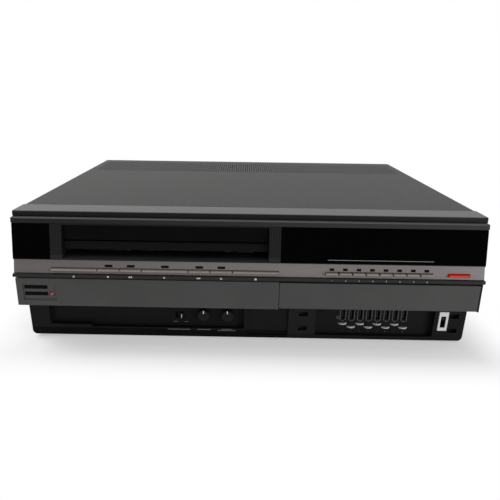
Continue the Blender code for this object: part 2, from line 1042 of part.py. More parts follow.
def lug_span():
    """How far the flap's hinge bead starts from its left end, to leave room for the lug."""
    return flap_cheek + 2 * seat_gap


def cut_lug_notch(obj, bead_left):
    """Frees the left end of the bead for the lug, behind a thin skin that hides it."""
    y_hinge, z_hinge = hinge_axis()
    y_skin = y_hinge - hinge_lug_radius - seat_gap
    y_far = y_hinge + 2 * hinge_radius
    z_skin = z_hinge - lug_skin_drop
    z_head = z_hinge + hinge_radius + seat_gap
    outline = [
        (y_panel_front - overrun, z_panel_foot - overrun),
        (y_panel_front - overrun, z_skin),
        (y_skin, z_skin),
        (y_skin, z_head),
        (y_far, z_head),
        (y_far, z_panel_foot - overrun),
    ]

    def notch(mesh):
        add_prism(mesh, outline, flap_left - overrun, bead_left)

    cut(obj, "lug_notch", notch)


def make_control_flap():
    """The right half of the grey panel, which turns down about a bead along its foot."""
    y_hinge, z_hinge = hinge_axis()
    z_head = z_panel_top - flap_top_gap
    y_inside = y_panel_front + panel_thickness
    rise = math.sqrt(hinge_radius**2 - (y_inside - y_hinge) ** 2)
    start = math.atan2(rise, y_inside - y_hinge)
    end = -math.pi
    steps = 10
    bead = [
        (y_hinge + hinge_radius * math.cos(a), z_hinge + hinge_radius * math.sin(a))
        for a in (start + (end - start) * i / steps for i in range(steps + 1))
    ]
    mesh = bmesh.new()
    outline = [(y_panel_front, z_head), (y_inside, z_head)] + bead
    add_prism(mesh, outline, flap_left, flap_right)
    origin = ((flap_left + flap_right) / 2, y_hinge, z_hinge)
    obj = make_object("control_flap", mesh, "grey_plastic", origin)
    bead_left = flap_left + lug_span()
    cut_lug_notch(obj, bead_left)
    join(
        obj,
        "pins",
        rods(
            hinge_pin_radius,
            [(0, y_hinge, z_hinge)],
            "X",
            bead_left - hinge_pin_reach,
            flap_right + hinge_pin_reach,
            steps=12,
        ),
    )
    return obj


def make_top_trim():
    """The band over the front of the top face, with a round nose and a lip down to the ledge."""
    z_under = z_top - top_sheet
    nose = [
        (
            y_edge + trim_nose - trim_nose * math.cos(a),
            z_top - trim_nose + trim_nose * math.sin(a),
        )
        for a in (math.pi / 2 * i / 3 for i in range(4))
    ]
    outline = nose + [
        (y_behind_front, z_top),
        (y_behind_front, z_under),
        (y_edge + lip_thickness, z_under),
        (y_edge + lip_thickness, z_ledge + seat_gap),
        (y_edge, z_ledge + seat_gap),
    ]
    mesh = bmesh.new()
    add_prism(mesh, outline, -cover_half, cover_half)
    obj = make_object("top_trim", mesh, "trim_grey")
    soften(obj)
    return obj


def make_top_cover():
    """Folded steel over the top and both sides, with a row of fine slots near the back."""
    foot = foot_height + cover_foot_gap

    def shell(half, top, radius):
        arc = [math.pi / 2 * i / 4 for i in range(5)]
        right = [
            (half - radius + radius * math.cos(a), top - radius + radius * math.sin(a)) for a in arc
        ]
        left = [(-x, z) for x, z in reversed(right)]
        return [(half, foot)] + right + left + [(-half, foot)]

    outer = shell(cover_half, z_top, cover_corner)
    inner = shell(cover_half - sheet, z_top - sheet, cover_corner - sheet)
    mesh = bmesh.new()
    add_prism(mesh, outer + inner[::-1], y_cover_front, y_rear, "Y")
    obj = make_object("top_cover", mesh, "painted_steel")
    span = 2 * (cover_half - vent_side_margin)
    count = int(span / vent_pitch)
    first = -(count - 1) * vent_pitch / 2
    y_vent = y_rear - vent_rear_margin - vent_length

    def slots(mesh):
        for i in range(count):
            x = first + i * vent_pitch
            add_box(
                mesh,
                (x - vent_width / 2, y_vent, z_top - sheet - overrun),
                (x + vent_width / 2, y_vent + vent_length, z_top + overrun),
            )

    cut(obj, "vents", slots)
    return obj


def pocket_columns():
    """The middles of the two columns of pockets, the right one beside the plate."""
    x_plate, _, _ = plate_place()
    beside_plate = x_plate + plate_width / 2 + pocket_plate_gap + pocket_width / 2
    return across(pocket_centre_share), beside_plate


def pocket_corners(x, rise_share):
    z = tray_height(rise_share)
    y = tray_face(z)
    return (
        (x - pocket_width / 2, y - overrun, z - pocket_height / 2),
        (x + pocket_width / 2, y + pocket_depth, z + pocket_height / 2),
    )


def bay_wall():
    return y_tray_head + bay_depth


def tuner_wall_face():
    """The front of the wall that the wheels stand through, as far forward as they need."""
    return wheel_axis() - wheel_spindle_radius - 2 * seat_gap - tuner_wall


def wheel_places():
    """Each tuning wheel's x and the height of its middle, alternate wheels one row lower."""
    step = (wheel_last_share - wheel_first_share) / (wheel_count - 1)
    places = []
    for i in range(wheel_count):
        z = foot_height + wheel_low_rise + wheel_row_height * ((i + 1) % 2)
        places.append((across(wheel_first_share + i * step), z))
    return places


def wheel_axis():
    """The y of the spindles, which leaves the wheels clear of the tray's open back."""
    return y_behind_front - run_gap - wheel_radius


def cut_bay(obj):
    """The two-step recess that the knobs and the slide switch stand in."""
    z_head = z_tray_top - tray_border
    z_sill = foot_height + bay_sill_height
    x_step = across(bay_step_share)
    low = (across(bay_shares[0]), y_front, z_sill + bay_step_rise)
    cut(obj, "bay", boxes((low, (x_step, bay_wall(), z_head))))
    low = (x_step - seat_gap, y_front, z_sill)
    cut(obj, "bay_low", boxes((low, (across(bay_shares[1]), bay_wall(), z_head))))


def cut_plain_face(obj):
    low = (across(plain_shares[0]) + tray_border, y_front, foot_height + tray_border)
    high = (across(plain_shares[1]), y_tray_foot + plain_depth, z_tray_top + overrun)
    cut(obj, "plain_face", boxes((low, high)))


def tuner_well_floor():
    return wheel_places()[1][1] - wheel_thickness / 2 - run_gap


def cut_tuner_recess(obj):
    """The recess in front of the tuner's wall and the well behind it."""
    left, right = (across(share) for share in tuner_shares)
    z_head = z_tray_top - tray_border
    low = (left, y_front, foot_height + tuner_sill_height)
    cut(obj, "tuner_recess", boxes((low, (right, tuner_wall_face(), z_head))))
    places = wheel_places()
    reach = wheel_radius + run_gap + tuner_wall
    low = (places[0][0] - reach, tuner_wall_face() + tuner_wall, tuner_well_floor())
    high = (places[-1][0] + reach, y_behind_front + overrun, z_head)
    cut(obj, "tuner_well", boxes((low, high)))


def cut_wheel_slots(obj):
    """The slots that the wheels stand through, one row after the other."""
    reach = wheel_radius + run_gap
    half = wheel_thickness / 2 + run_gap
    slots = [
        (
            (x - reach, tuner_wall_face() - overrun, z - half),
            (x + reach, tuner_wall_face() + 2 * tuner_wall, z + half),
        )
        for x, z in wheel_places()
    ]
    cut(obj, "wheel_slots_high", boxes(*slots[0::2]))
    cut(obj, "wheel_slots_low", boxes(*slots[1::2]))


def cut_tuner_windows(obj):
    """The upright windows over the wheels and the bores that the spindles turn in."""
    z_head = z_tray_top - tray_border
    z_window = foot_height + tuner_window_rise
    half = tuner_window_width / 2
    windows = [
        (
            (x - half, tuner_wall_face() - overrun, z_window),
            (x + half, tuner_wall_face() + 2 * tuner_wall, z_head - run_gap),
        )
        for x, _ in wheel_places()
    ]
    cut(obj, "tuner_windows", boxes(*windows))
    places = [(x, wheel_axis(), tuner_well_floor()) for x, _ in wheel_places()]
    depth = -tuner_pivot_depth - seat_gap
    bores = rods(wheel_spindle_radius + seat_gap, places, "Z", depth, overrun, steps=8)
    cut(obj, "spindle_bores", bores)


def cut_control_seats(obj):
    """The pockets, the knobs' bores and the slide switch's slot."""
    pockets = [pocket_corners(x, z) for x in pocket_columns() for z in pocket_rise_shares]
    cut(obj, "pockets", boxes(*pockets))
    z = tray_height(knob_rise_share)
    knobs = [(across(share), bay_wall(), z) for share in (tracking_knob_share, picture_knob_share)]
    depth = -knob_shaft_length - run_gap
    cut(obj, "knob_bores", rods(knob_shaft_radius + run_gap, knobs, "Y", depth, overrun, 12))
    x, z = across(input_switch_share), tray_height(input_rise_share)
    half = (switch_slot_width / 2, switch_slot_height / 2)
    low = (x - half[0], bay_wall() - overrun, z - half[1])
    high = (x + half[0], bay_wall() + switch_slot_depth, z + half[1])
    cut(obj, "switch_slot", boxes((low, high)))


def cut_plate_seat(obj):
    """The seat of the white plate and the well of its slide."""
    x = plate_place()[0]
    half = plate_width / 2 + seat_gap

    def seat(mesh):
        outline = plate_outline(plate_thickness + seat_gap, seat_gap, overrun)
        add_prism(mesh, outline, x - half, x + half)

    cut(obj, "plate_seat", seat)
    x, y, z = plate_slot_place()
    half = (plate_slot_width / 2, plate_slot_height / 2)
    low = (x - half[0], y, z - half[1])
    high = (x + half[0], y + plate_well_depth, z + half[1])
    cut(obj, "plate_well", boxes((low, high)))


def round_tray_corners(obj):
    """Takes the two bottom corners off in an arc."""
    steps = 6
    arc = [math.pi / 2 * i / steps for i in range(steps + 1)]
    z_arc = foot_height + tray_corner
    z_out = foot_height - overrun

    def corners(mesh):
        for side in (-1, 1):
            x_arc = side * (half_width - tray_corner)
            outline = [
                (x_arc + side * tray_corner * math.sin(a), z_arc - tray_corner * math.cos(a)) for a in arc
            ]
            x_out = side * (half_width + overrun)
            outline += [(x_out, z_arc), (x_out, z_out), (x_arc, z_out)]
            add_prism(mesh, outline, y_front, y_behind_front + overrun, "Y")

    cut(obj, "corners", corners)


def make_control_tray():
    """The set-back black moulding under the panels, with everything that it holds cut in."""
    outline = [
        (y_tray_head, z_tray_top),
        (y_tray_foot, foot_height),
        (y_behind_front, foot_height),
        (y_behind_front, z_tray_top),
    ]
    mesh = bmesh.new()
    add_prism(mesh, outline, -half_width, half_width)
    obj = make_object("control_tray", mesh, "black_plastic")
    cut_bay(obj)
    cut_plain_face(obj)
    cut_tuner_recess(obj)
    cut_wheel_slots(obj)
    cut_tuner_windows(obj)
    cut_control_seats(obj)
    cut_plate_seat(obj)
    round_tray_corners(obj)
    return obj


def plate_place():
    """The middle of the front face of the plate at the right end of the tray."""
    z = tray_height(plate_rise_share)
    return across(plate_share), tray_face(z), z


def plate_slot_place():
    """The middle of the plate's slot, a little below the plate's own."""
    x, _, z = plate_place()
    return x, tray_face(z - plate_slot_drop), z - plate_slot_drop


def plate_outline(depth, margin=0.0, ahead=0.0):
    """A slab that leans with the tray's face, this deep behind it."""
    _, _, z = plate_place()
    low, high = z - plate_height / 2 - margin, z + plate_height / 2 + margin
    return [
        (tray_face(high) - ahead, high),
        (tray_face(low) - ahead, low),
        (tray_face(low) + depth, low),
        (tray_face(high) + depth, high),
    ]


def make_switch_plate():
    x, y, z = plate_slot_place()
    mesh = bmesh.new()
    add_prism(mesh, plate_outline(plate_thickness), x - plate_width / 2, x + plate_width / 2)
    obj = make_object("switch_plate", mesh, "white_plastic")
    half = (plate_slot_width / 2, plate_slot_height / 2)
    cut(
        obj,
        "slot",
        boxes(
            (
                (x - half[0], y - overrun, z - half[1]),
                (x + half[0], y + plate_thickness + overrun, z + half[1]),
            )
        ),
    )
    return obj


def make_plate_lever():
    """A slide with a pad inside the plate's well and a finger that comes up to its face."""
    x, y, z = plate_slot_place()
    half_pad = plate_slot_width / 2 - run_gap
    z_rest = z + plate_slot_height / 2 - run_gap - plate_lever_height / 2
    y_back = y + plate_well_depth - run_gap
    outline = [
        (y + run_gap, z_rest - plate_lever_height / 4),
        (y + run_gap, z_rest + plate_lever_height / 4),
        (y + 2 * plate_thickness, z_rest + plate_lever_height / 2),
        (y_back, z_rest + plate_lever_height / 2),
        (y_back, z_rest - plate_lever_height / 2),
        (y + 2 * plate_thickness, z_rest - plate_lever_height / 2),
    ]
    mesh = bmesh.new()
    add_prism(mesh, outline, x - half_pad, x + half_pad)
    return make_object("plate_switch", mesh, "black_plastic", (x, y, z_rest))


def make_knob(name, share):
    """A fluted knob with a pointer groove across its face."""
    place = (across(share), bay_wall(), tray_height(knob_rise_share))
    mesh = bmesh.new()
    flutes = 2 * knob_flutes
    low = knob_radius - knob_groove / 2
    outline = []
    for i in range(flutes):
        angle = 2 * math.pi * i / flutes
        radius = knob_radius if i % 2 else low
        outline.append((place[0] + radius * math.cos(angle), place[2] + radius * math.sin(angle)))
    y_face = bay_wall() - knob_length
    add_prism(mesh, outline, y_face, bay_wall() - run_gap, "Y")
    obj = make_object(name, mesh, "black_plastic", place)
    join(
        obj,
        "shaft",
        rods(knob_shaft_radius, [place], "Y", -knob_shaft_length, knob_length / 2, 12),
    )
    cut(
        obj,
        "pointer",
        boxes(
            (
                (place[0] - knob_groove / 2, y_face - overrun, place[2]),
                (
                    place[0] + knob_groove / 2,
                    y_face + knob_groove,
                    place[2] + knob_radius + overrun,
                ),
            )
        ),
    )
    return obj


def make_input_switch():
    x, z = across(input_switch_share), tray_height(input_rise_share)
    x_rest = x + switch_slot_width / 2 - run_gap - lever_width
    y_wall = bay_wall()
    half_slot = switch_slot_height / 2 - run_gap
    outline = [
        (x_rest - lever_width, y_wall + lever_flange),
        (x_rest - lever_width / 2, y_wall + lever_flange),
        (x_rest - lever_width / 2, y_wall - lever_rise),
        (x_rest + lever_width / 2, y_wall - lever_rise),
        (x_rest + lever_width / 2, y_wall + lever_flange),
        (x_rest + lever_width, y_wall + lever_flange),
        (x_rest + lever_width, y_wall + switch_slot_depth - run_gap),
        (x_rest - lever_width, y_wall + switch_slot_depth - run_gap),
    ]
    mesh = bmesh.new()
    add_prism(mesh, outline, z - half_slot, z + half_slot, "Z")
    return make_object("input_switch", mesh, "white_plastic", (x_rest, y_wall, z))


def make_tuning_wheel(number, place):
    """A toothed disc on an upright spindle, its front third proud of the tuner wall."""
    x, z = place
    y = wheel_axis()
    points = 2 * wheel_teeth
    outline = []
    for i in range(points):
        angle = 2 * math.pi * i / points
        radius = wheel_radius - wheel_tooth * (i % 2)
        outline.append((x + radius * math.cos(angle), y + radius * math.sin(angle)))
    mesh = bmesh.new()
    add_prism(mesh, outline, z - wheel_thickness / 2, z + wheel_thickness / 2, "Z")
    obj = make_object(f"tuning_wheel_{number}", mesh, "wheel_white", (x, y, z))
    z_head = z_tray_top - tray_border - run_gap
    join(
        obj,
        "spindle",
        rods(
            wheel_spindle_radius,
            [(x, y, 0)],
            "Z",
            tuner_well_floor() - tuner_pivot_depth,
            z_head,
            steps=wheel_spindle_sides,
        ),
    )
    return obj


def make_base_chassis():
    """A folded steel pan with turned-up flanges at the front and both sides."""
    mesh = bmesh.new()
    top = foot_height + base_flange
    outline = [
        (-base_half, foot_height),
        (base_half, foot_height),
        (base_half, top),
        (base_half - sheet, top),
        (base_half - sheet, z_floor),
        (-base_half + sheet, z_floor),
        (-base_half + sheet, top),
        (-base_half, top),
    ]
    add_prism(mesh, outline, y_cover_front, y_rear, "Y")
    obj = make_object("base_chassis", mesh, "zinc_steel")
    join(
        obj,
        "front_flange",
        boxes(
            (
                (-base_half + sheet / 2, y_cover_front, foot_height + sheet / 2),
                (base_half - sheet / 2, y_cover_front + sheet, top),
            )
        ),
    )
    posts = [(x, y, 0) for x, y in board_post_places()]
    join(
        obj,
        "board_posts",
        rods(post_radius, posts, "Z", z_floor - sheet / 2, z_floor + board_rise, steps=10),
    )
    return obj


def transformer_place():
    return half_width - transformer_side_inset, y_rear - transformer_rear_inset


def board_span():
    left = slot_centre + deck_half() + board_deck_gap
    far = transformer_place()[1] - transformer_depth / 2 - board_rear_gap
    return left, half_width - board_side_inset, y_edge + board_front, far


def board_post_places():
    left, right, near, far = board_span()
    return [
        (x, y)
        for x in (left + post_inset, right - post_inset)
        for y in (near + post_inset, far - post_inset)
    ]


def make_main_board():
    """The circuit board, with its larger parts standing on it."""
    left, right, near, far = board_span()
    z = z_floor + board_rise + seat_gap
    mesh = bmesh.new()
    add_box(mesh, (left, near, z), (right, far, z + board_thickness))
    obj = make_object("main_board", mesh, "circuit_board")
    width, depth = right - left, far - near
    part_shares = (
        (0.10, 0.12, 0.16, 0.10, 0.10),
        (0.34, 0.15, 0.10, 0.07, 0.05),
        (0.52, 0.12, 0.10, 0.07, 0.05),
        (0.72, 0.14, 0.16, 0.20, 0.14),
        (0.12, 0.40, 0.22, 0.16, 0.06),
        (0.46, 0.44, 0.14, 0.09, 0.05),
        (0.70, 0.56, 0.18, 0.10, 0.05),
        (0.16, 0.72, 0.12, 0.12, 0.14),
        (0.42, 0.74, 0.24, 0.10, 0.08),
        (0.76, 0.80, 0.12, 0.10, 0.12),
    )

    def parts(mesh):
        for x, y, wide, deep, tall in part_shares:
            low = (left + x * width, near + y * depth, z + board_thickness / 2)
            high = (low[0] + wide * width, low[1] + deep * depth, low[2] + tall * depth)
            add_box(mesh, low, high)

    join(obj, "parts", parts)
    return obj


def make_power_transformer():
    """A laminated core with its winding through the middle."""
    x, y = transformer_place()
    z = z_floor + seat_gap
    half = (transformer_width / 2, transformer_depth / 2)
    window = transformer_width * (1 - coil_share) / 4
    core_depth = transformer_depth - 2 * coil_stand
    mesh = bmesh.new()
    add_box(
        mesh,
        (x - half[0], y - core_depth / 2, z),
        (x + half[0], y + core_depth / 2, z + transformer_height),
    )
    obj = make_object("power_transformer", mesh, "transformer_iron")
    coil_half = transformer_width * coil_share / 2
    join(
        obj,
        "coil",
        boxes(
            (
                (x - coil_half, y - half[1], z + window),
                (x + coil_half, y + half[1], z + transformer_height - window),
            )
        ),
    )
    return obj


def add_mains_inlet(obj, y_back):
    """The two-pin inlet, sunk in its own box behind the sheet."""
    x, z = half_width - inlet_side_inset, foot_height + inlet_rise
    half = (inlet_width / 2, inlet_height / 2)
    wall = (half[0] + inlet_wall, half[1] + inlet_wall)
    low = (x - wall[0], y_back - inlet_depth - inlet_wall, z - wall[1])
    high = (x + wall[0], y_back - overrun / 4, z + wall[1])
    join(obj, "inlet_body", boxes((low, high)))
    low = (x - half[0], y_back - inlet_depth, z - half[1])
    high = (x + half[0], y_back + overrun, z + half[1])
    cut(obj, "inlet_well", boxes((low, high)))
    pins = [(x + side * inlet_pin_spacing / 2, y_back, z) for side in (-1, 1)]
    far = inlet_depth + inlet_wall / 2
    join(obj, "inlet_pins", rods(inlet_pin_radius, pins, "Y", overrun, far, steps=8))


def add_rear_sockets(obj, y_back):
    """The modulator's can with two aerial sockets, and four line sockets beside it."""
    z = foot_height + socket_rise
    first = -half_width + inlet_side_inset
    low = (first - modulator_margin, y_rear_panel - modulator_depth, z - modulator_height / 2)
    high = (
        first + socket_pitch + modulator_margin,
        y_back - rear_sheet / 2,
        z + modulator_height / 2,
    )
    join(obj, "modulator", boxes((low, high)))
    sockets = [(first + i * socket_pitch, y_back, z) for i in range(socket_count)]
    half = rear_sheet / 2
    join(obj, "sockets", rods(socket_radius, sockets, "Y", -socket_reach, half, steps=socket_sides))
    start = -socket_reach - overrun
    cut(obj, "socket_bores", rods(socket_bore, sockets, "Y", start, -half, steps=8))


def make_rear_panel():
    """The rear sheet with the mains inlet, the aerial and line sockets and the modulator can."""
    half = base_half - sheet - seat_gap
    y_back = y_rear_panel + rear_sheet
    mesh = bmesh.new()
    low = (-half, y_rear_panel, z_floor + seat_gap)
    add_box(mesh, low, (half, y_back, z_top - sheet - seat_gap))
    obj = make_object("rear_panel", mesh, "zinc_steel")
    add_mains_inlet(obj, y_back)
    add_rear_sockets(obj, y_back)
    return obj


def make_foot(name, x, y):
    mesh = bmesh.new()
    height = foot_height - seat_gap
    profile = [
        (0, 0),
        (foot_radius - foot_taper, 0),
        (foot_radius, foot_taper),
        (foot_radius, height),
        (0, height),
    ]
    add_turned(mesh, profile, (x, y, 0), steps=20)
    return make_object(name, mesh, "rubber", smooth=True)


def carriage_heights():
    """The underside, the floor, the ceiling and the top of the carriage."""
    ceiling = z_slot_floor + cassette_height + cassette_head_play / 2
    return z_slot_floor - sheet, z_slot_floor, ceiling, ceiling + sheet


def carriage_ends():
    near = y_edge + carriage_front
    return near, near + cassette_depth - carriage_short


def lift_pin_places():
    near, far = carriage_ends()
    _, _, _, top = carriage_heights()
    return [(near + share * (far - near), top - lift_pin_drop) for share in lift_pin_shares]


def make_cassette_carriage():
    """The cage that a cassette is pushed into: two ledges, two sides and a roof at the back."""
    under, floor, ceiling, top = carriage_heights()
    near, far = carriage_ends()
    inner = slot_width / 2
    outer = inner + sheet
    toe = inner - carriage_ledge
    right = [(toe, under), (outer, under), (outer, top)]
    left = [(-x, z) for x, z in reversed(right)]
    inside_left = [(-toe, floor), (-inner, floor), (-inner, ceiling)]
    inside_right = [(-x, z) for x, z in reversed(inside_left)]
    outline = right + left + inside_left + inside_right
    mesh = bmesh.new()
    add_prism(mesh, [(slot_centre + x, z) for x, z in outline], near, far, "Y")
    origin = (slot_centre, (near + far) / 2, floor)
    obj = make_object("cassette_carriage", mesh, "zinc_steel", origin)
    cut(
        obj,
        "roof_cut",
        boxes(
            (
                (slot_centre - inner, near - overrun, ceiling - overrun),
                (slot_centre + inner, near + carriage_open, top + overrun),
            )
        ),
    )
    reach = outer + run_gap + lift_pin_reach
    for side, label in ((-1, "left_pins"), (1, "right_pins")):
        ends = sorted((side * (outer - sheet / 2), side * reach))
        places = [(slot_centre, y, z) for y, z in lift_pin_places()]
        join(obj, label, rods(lift_pin_radius, places, "X", *ends, steps=10))
    return obj


def slider_size():
    inner = slot_width / 2 + sheet + run_gap
    return inner, inner + slider_plate


def make_feed_slider():
    """The frame that carries the cage backwards, with upright slots that it sinks along."""
    _, _, _, carriage_top = carriage_heights()
    near, far = carriage_ends()
    near, far = near + slider_inset, far - slider_inset
    inner, outer = slider_size()
    ceiling = carriage_top + run_gap
    top = ceiling + sheet
    foot = lift_pin_places()[0][1] - drop_travel - slider_foot
    right = [(inner, foot), (outer, foot), (outer, top)]
    left = [(-x, z) for x, z in reversed(right)]
    outline = right + left + [(-inner, ceiling), (inner, ceiling)]
    mesh = bmesh.new()
    add_prism(mesh, [(slot_centre + x, z) for x, z in outline], near, far, "Y")
    origin = (slot_centre, (near + far) / 2, ceiling)
    obj = make_object("feed_slider", mesh, "zinc_steel", origin)
    bridge = (far - near) * slider_bridge_share
    cut(
        obj,
        "roof_cut",
        boxes(
            (
                (slot_centre - inner + sheet, near - overrun, ceiling - overrun),
                (slot_centre + inner - sheet, far - bridge, top + overrun),
            )
        ),
    )
    half = lift_pin_radius + seat_gap
    slots = [
        (
            (slot_centre - outer - overrun, y - half, z - drop_travel - half),
            (slot_centre + outer + overrun, y + half, z + half),
        )
        for y, z in lift_pin_places()
    ]
    cut(obj, "lift_slots", boxes(*slots))
    y_rail = (near + far - rail_length) / 2
    z_rail = top - rail_drop
    reach = outer + run_gap + rail_reach
    rails = []
    for side in (-1, 1):
        left, right = sorted((side * (outer - slider_plate / 2), side * reach))
        rails.append(
            (
                (slot_centre + left, y_rail, z_rail - slide_rail_height),
                (slot_centre + right, y_rail + rail_length, z_rail),
            )
        )
    join(obj, "rails", boxes(*rails))
    return obj


def deck_top():
    under, _, _, _ = carriage_heights()
    return under - drop_travel - deck_clear


def drum_place():
    _, far = carriage_ends()
    return slot_centre + drum_offset, far + feed_travel + drum_clear + drum_radius, deck_top()


def capstan_place():
    _, far = carriage_ends()
    return slot_centre + capstan_offset, far + feed_travel + capstan_behind


def pinch_place():
    x, y = capstan_place()
    return x, y + capstan_radius + pinch_gap + pinch_radius


def reel_places():
    near, _ = carriage_ends()
    y = near + reel_behind
    return [(slot_centre + side * reel_spacing / 2, y) for side in (-1, 1)]


def deck_half():
    return slider_size()[1] + run_gap + bracket_plate + deck_side_margin


def bracket_top():
    return carriage_heights()[3] + run_gap + sheet


def add_deck_brackets(obj):
    """The upright side brackets and the slots that the slider's rails run in."""
    near, far = carriage_ends()
    side = deck_half() - deck_side_margin
    inner = side - bracket_plate
    z_low = deck_top() - deck_thickness / 2
    y_bracket = far + feed_travel + bracket_rear_margin
    pairs = [
        (
            (slot_centre + low, near + slider_inset, z_low),
            (slot_centre + high, y_bracket, bracket_top()),
        )
        for low, high in ((-side, -inner), (inner, side))
    ]
    join(obj, "brackets", boxes(*pairs))
    y_rail = (near + far - rail_length) / 2
    z_rail = bracket_top() - rail_drop
    reach = side + overrun
    low = (slot_centre - reach, y_rail - run_gap, z_rail - slide_rail_height - run_gap)
    high = (slot_centre + reach, y_rail + rail_length + feed_travel + run_gap, z_rail + run_gap)
    cut(obj, "rail_slots", boxes((low, high)))


def add_deck_legs(obj):
    half = deck_half() - deck_leg_inset
    y_far = drum_place()[1] + deck_rear_margin
    leg_half = deck_leg / 2
    legs = [
        (
            (x - leg_half, y - leg_half, z_floor + seat_gap),
            (x + leg_half, y + leg_half, deck_top() - deck_thickness / 2),
        )
        for x in (slot_centre - half, slot_centre + half)
        for y in (y_behind_front + deck_leg_inset, y_far - deck_leg_inset)
    ]
    join(obj, "legs", boxes(*legs))


def add_deck_posts(obj):
    """The capstan's bore, and the posts of the pinch roller and the reel tables."""
    top = deck_top()
    x, y = capstan_place()
    depth = -deck_thickness - overrun
    bore = rods(capstan_radius + run_gap, [(x, y, top)], "Z", depth, overrun, steps=12)
    cut(obj, "capstan_bore", bore)
    post_low = -deck_thickness / 2
    x, y = pinch_place()
    pinch_top = pinch_rise + pinch_height
    post = rods(pinch_post_radius, [(x, y, top)], "Z", post_low, pinch_top, steps=10)
    join(obj, "pinch_post", post)
    reels = [(x, y, top) for x, y in reel_places()]
    reel_top = reel_disc_height + reel_hub_height
    join(obj, "reel_posts", rods(reel_post_radius, reels, "Z", post_low, reel_top, steps=10))


def make_deck_plate():
    """The mechanism deck: a plate on four legs with two upright side brackets."""
    near, _ = carriage_ends()
    half = deck_half()
    y_far = drum_place()[1] + deck_rear_margin
    mesh = bmesh.new()
    low = (slot_centre - half, near, deck_top() - deck_thickness)
    add_box(mesh, low, (slot_centre + half, y_far, deck_top()))
    obj = make_object("deck_plate", mesh, "zinc_steel")
    add_deck_brackets(obj)
    add_deck_legs(obj)
    add_deck_posts(obj)
    return obj


def make_reel_table(name, place):
    """A turned reel table with a bore for its post and three driving fins."""
    x, y = place
    bore = reel_post_radius + seat_gap
    low = seat_gap
    disc = low + reel_disc_height
    hub = disc + reel_hub_height
    top = hub + reel_spindle_height
    bore_top = reel_disc_height + reel_hub_height + 2 * seat_gap
    profile = [
        (0, bore_top),
        (bore, bore_top),
        (bore, low),
        (reel_radius, low),
        (reel_radius, disc),
        (reel_hub_radius, disc),
        (reel_hub_radius, hub),
        (reel_spindle_radius, hub),
        (reel_spindle_radius, top - reel_spindle_radius / 2),
        (reel_spindle_radius / 2, top),
        (0, top),
    ]
    mesh = bmesh.new()
    origin = (x, y, deck_top())
    add_turned(mesh, profile, origin, steps=24)
    obj = make_object(name, mesh, "white_plastic", origin, smooth=True)

    def fins(mesh):
        for i in range(reel_fin_count):
            turn = Matrix.Rotation(2 * math.pi * i / reel_fin_count, 4, "Z")
            z_low, z_high = hub - seat_gap, top - reel_spindle_radius
            root = reel_spindle_radius / 2
            middle = Vector(((root + reel_fin_reach) / 2, 0, (z_low + z_high) / 2))
            length = reel_fin_reach - root
            size = Matrix.Diagonal((length, reel_fin_width, z_high - z_low, 1))
            place = Matrix.Translation(origin) @ turn @ Matrix.Translation(middle) @ size
            bmesh.ops.create_cube(mesh, size=1, matrix=place)

    join(obj, "fins", fins)
    return obj


def make_drum_base():
    """The fixed lower drum, leaning as the tape path does, on a round pedestal."""
    x, y, z = drum_place()
    mesh = bmesh.new()
    z_seat = z + seat_gap
    add_turned(
        mesh,
        rod_profile(drum_pedestal_radius, 0, drum_pedestal_height + drum_lower_height / 2),
        (x, y, z_seat),
        steps=32,
    )
    obj = make_object("drum_base", mesh, "bright_steel", smooth=True)
    origin = (x, y, z_seat + drum_pedestal_height)

    def lower_drum(mesh):
        add_turned(mesh, rod_profile(drum_radius, 0, drum_lower_height), origin, steps=32, tilt=drum_tilt)

    join(obj, "lower_drum", lower_drum)

    def bearing(mesh):
        low = drum_lower_height - drum_shaft_length - run_gap
        add_turned(
            mesh,
            rod_profile(drum_shaft_radius + run_gap, low, drum_lower_height + overrun),
            origin,
            steps=12,
            tilt=drum_tilt,
        )

    cut(obj, "bearing", bearing)
    return obj


def make_drum_rotor():
    """The turning upper drum with its rim, its centre cap and the shaft below it."""
    x, y, z = drum_place()
    origin = (x, y, z + seat_gap + drum_pedestal_height)
    low = drum_lower_height + seat_gap
    high = low + drum_upper_height
    profile = [
        (0, low - drum_shaft_length),
        (drum_shaft_radius, low - drum_shaft_length),
        (drum_shaft_radius, low),
        (drum_radius, low),
        (drum_radius, high),
        (drum_radius - drum_rim_width, high),
        (drum_radius - drum_rim_width, high - drum_rim_depth),
        (drum_cap_radius, high - drum_rim_depth),
        (drum_cap_radius, high + drum_cap_height),
        (0, high + drum_cap_height),
    ]
    mesh = bmesh.new()
    add_turned(mesh, profile, origin, steps=32, tilt=drum_tilt)
    return make_object("drum_rotor", mesh, "bright_steel", origin, smooth=True)


def make_capstan():
    """The capstan shaft through the deck, with its flywheel below."""
    x, y = capstan_place()
    z = deck_top()
    fly_top = -deck_thickness - flywheel_drop
    profile = [
        (0, fly_top - flywheel_height),
        (flywheel_radius, fly_top - flywheel_height),
        (flywheel_radius, fly_top),
        (flywheel_radius - drum_rim_width, fly_top),
        (flywheel_radius - drum_rim_width, fly_top - flywheel_height / 2),
        (capstan_radius * 3, fly_top - flywheel_height / 2),
        (capstan_radius * 3, fly_top + flywheel_drop - run_gap),
        (capstan_radius, fly_top + flywheel_drop - run_gap),
        (capstan_radius, capstan_rise),
        (0, capstan_rise),
    ]
    mesh = bmesh.new()
    add_turned(mesh, profile, (x, y, z), steps=24)
    return make_object("capstan", mesh, "bright_steel", (x, y, z), smooth=True)


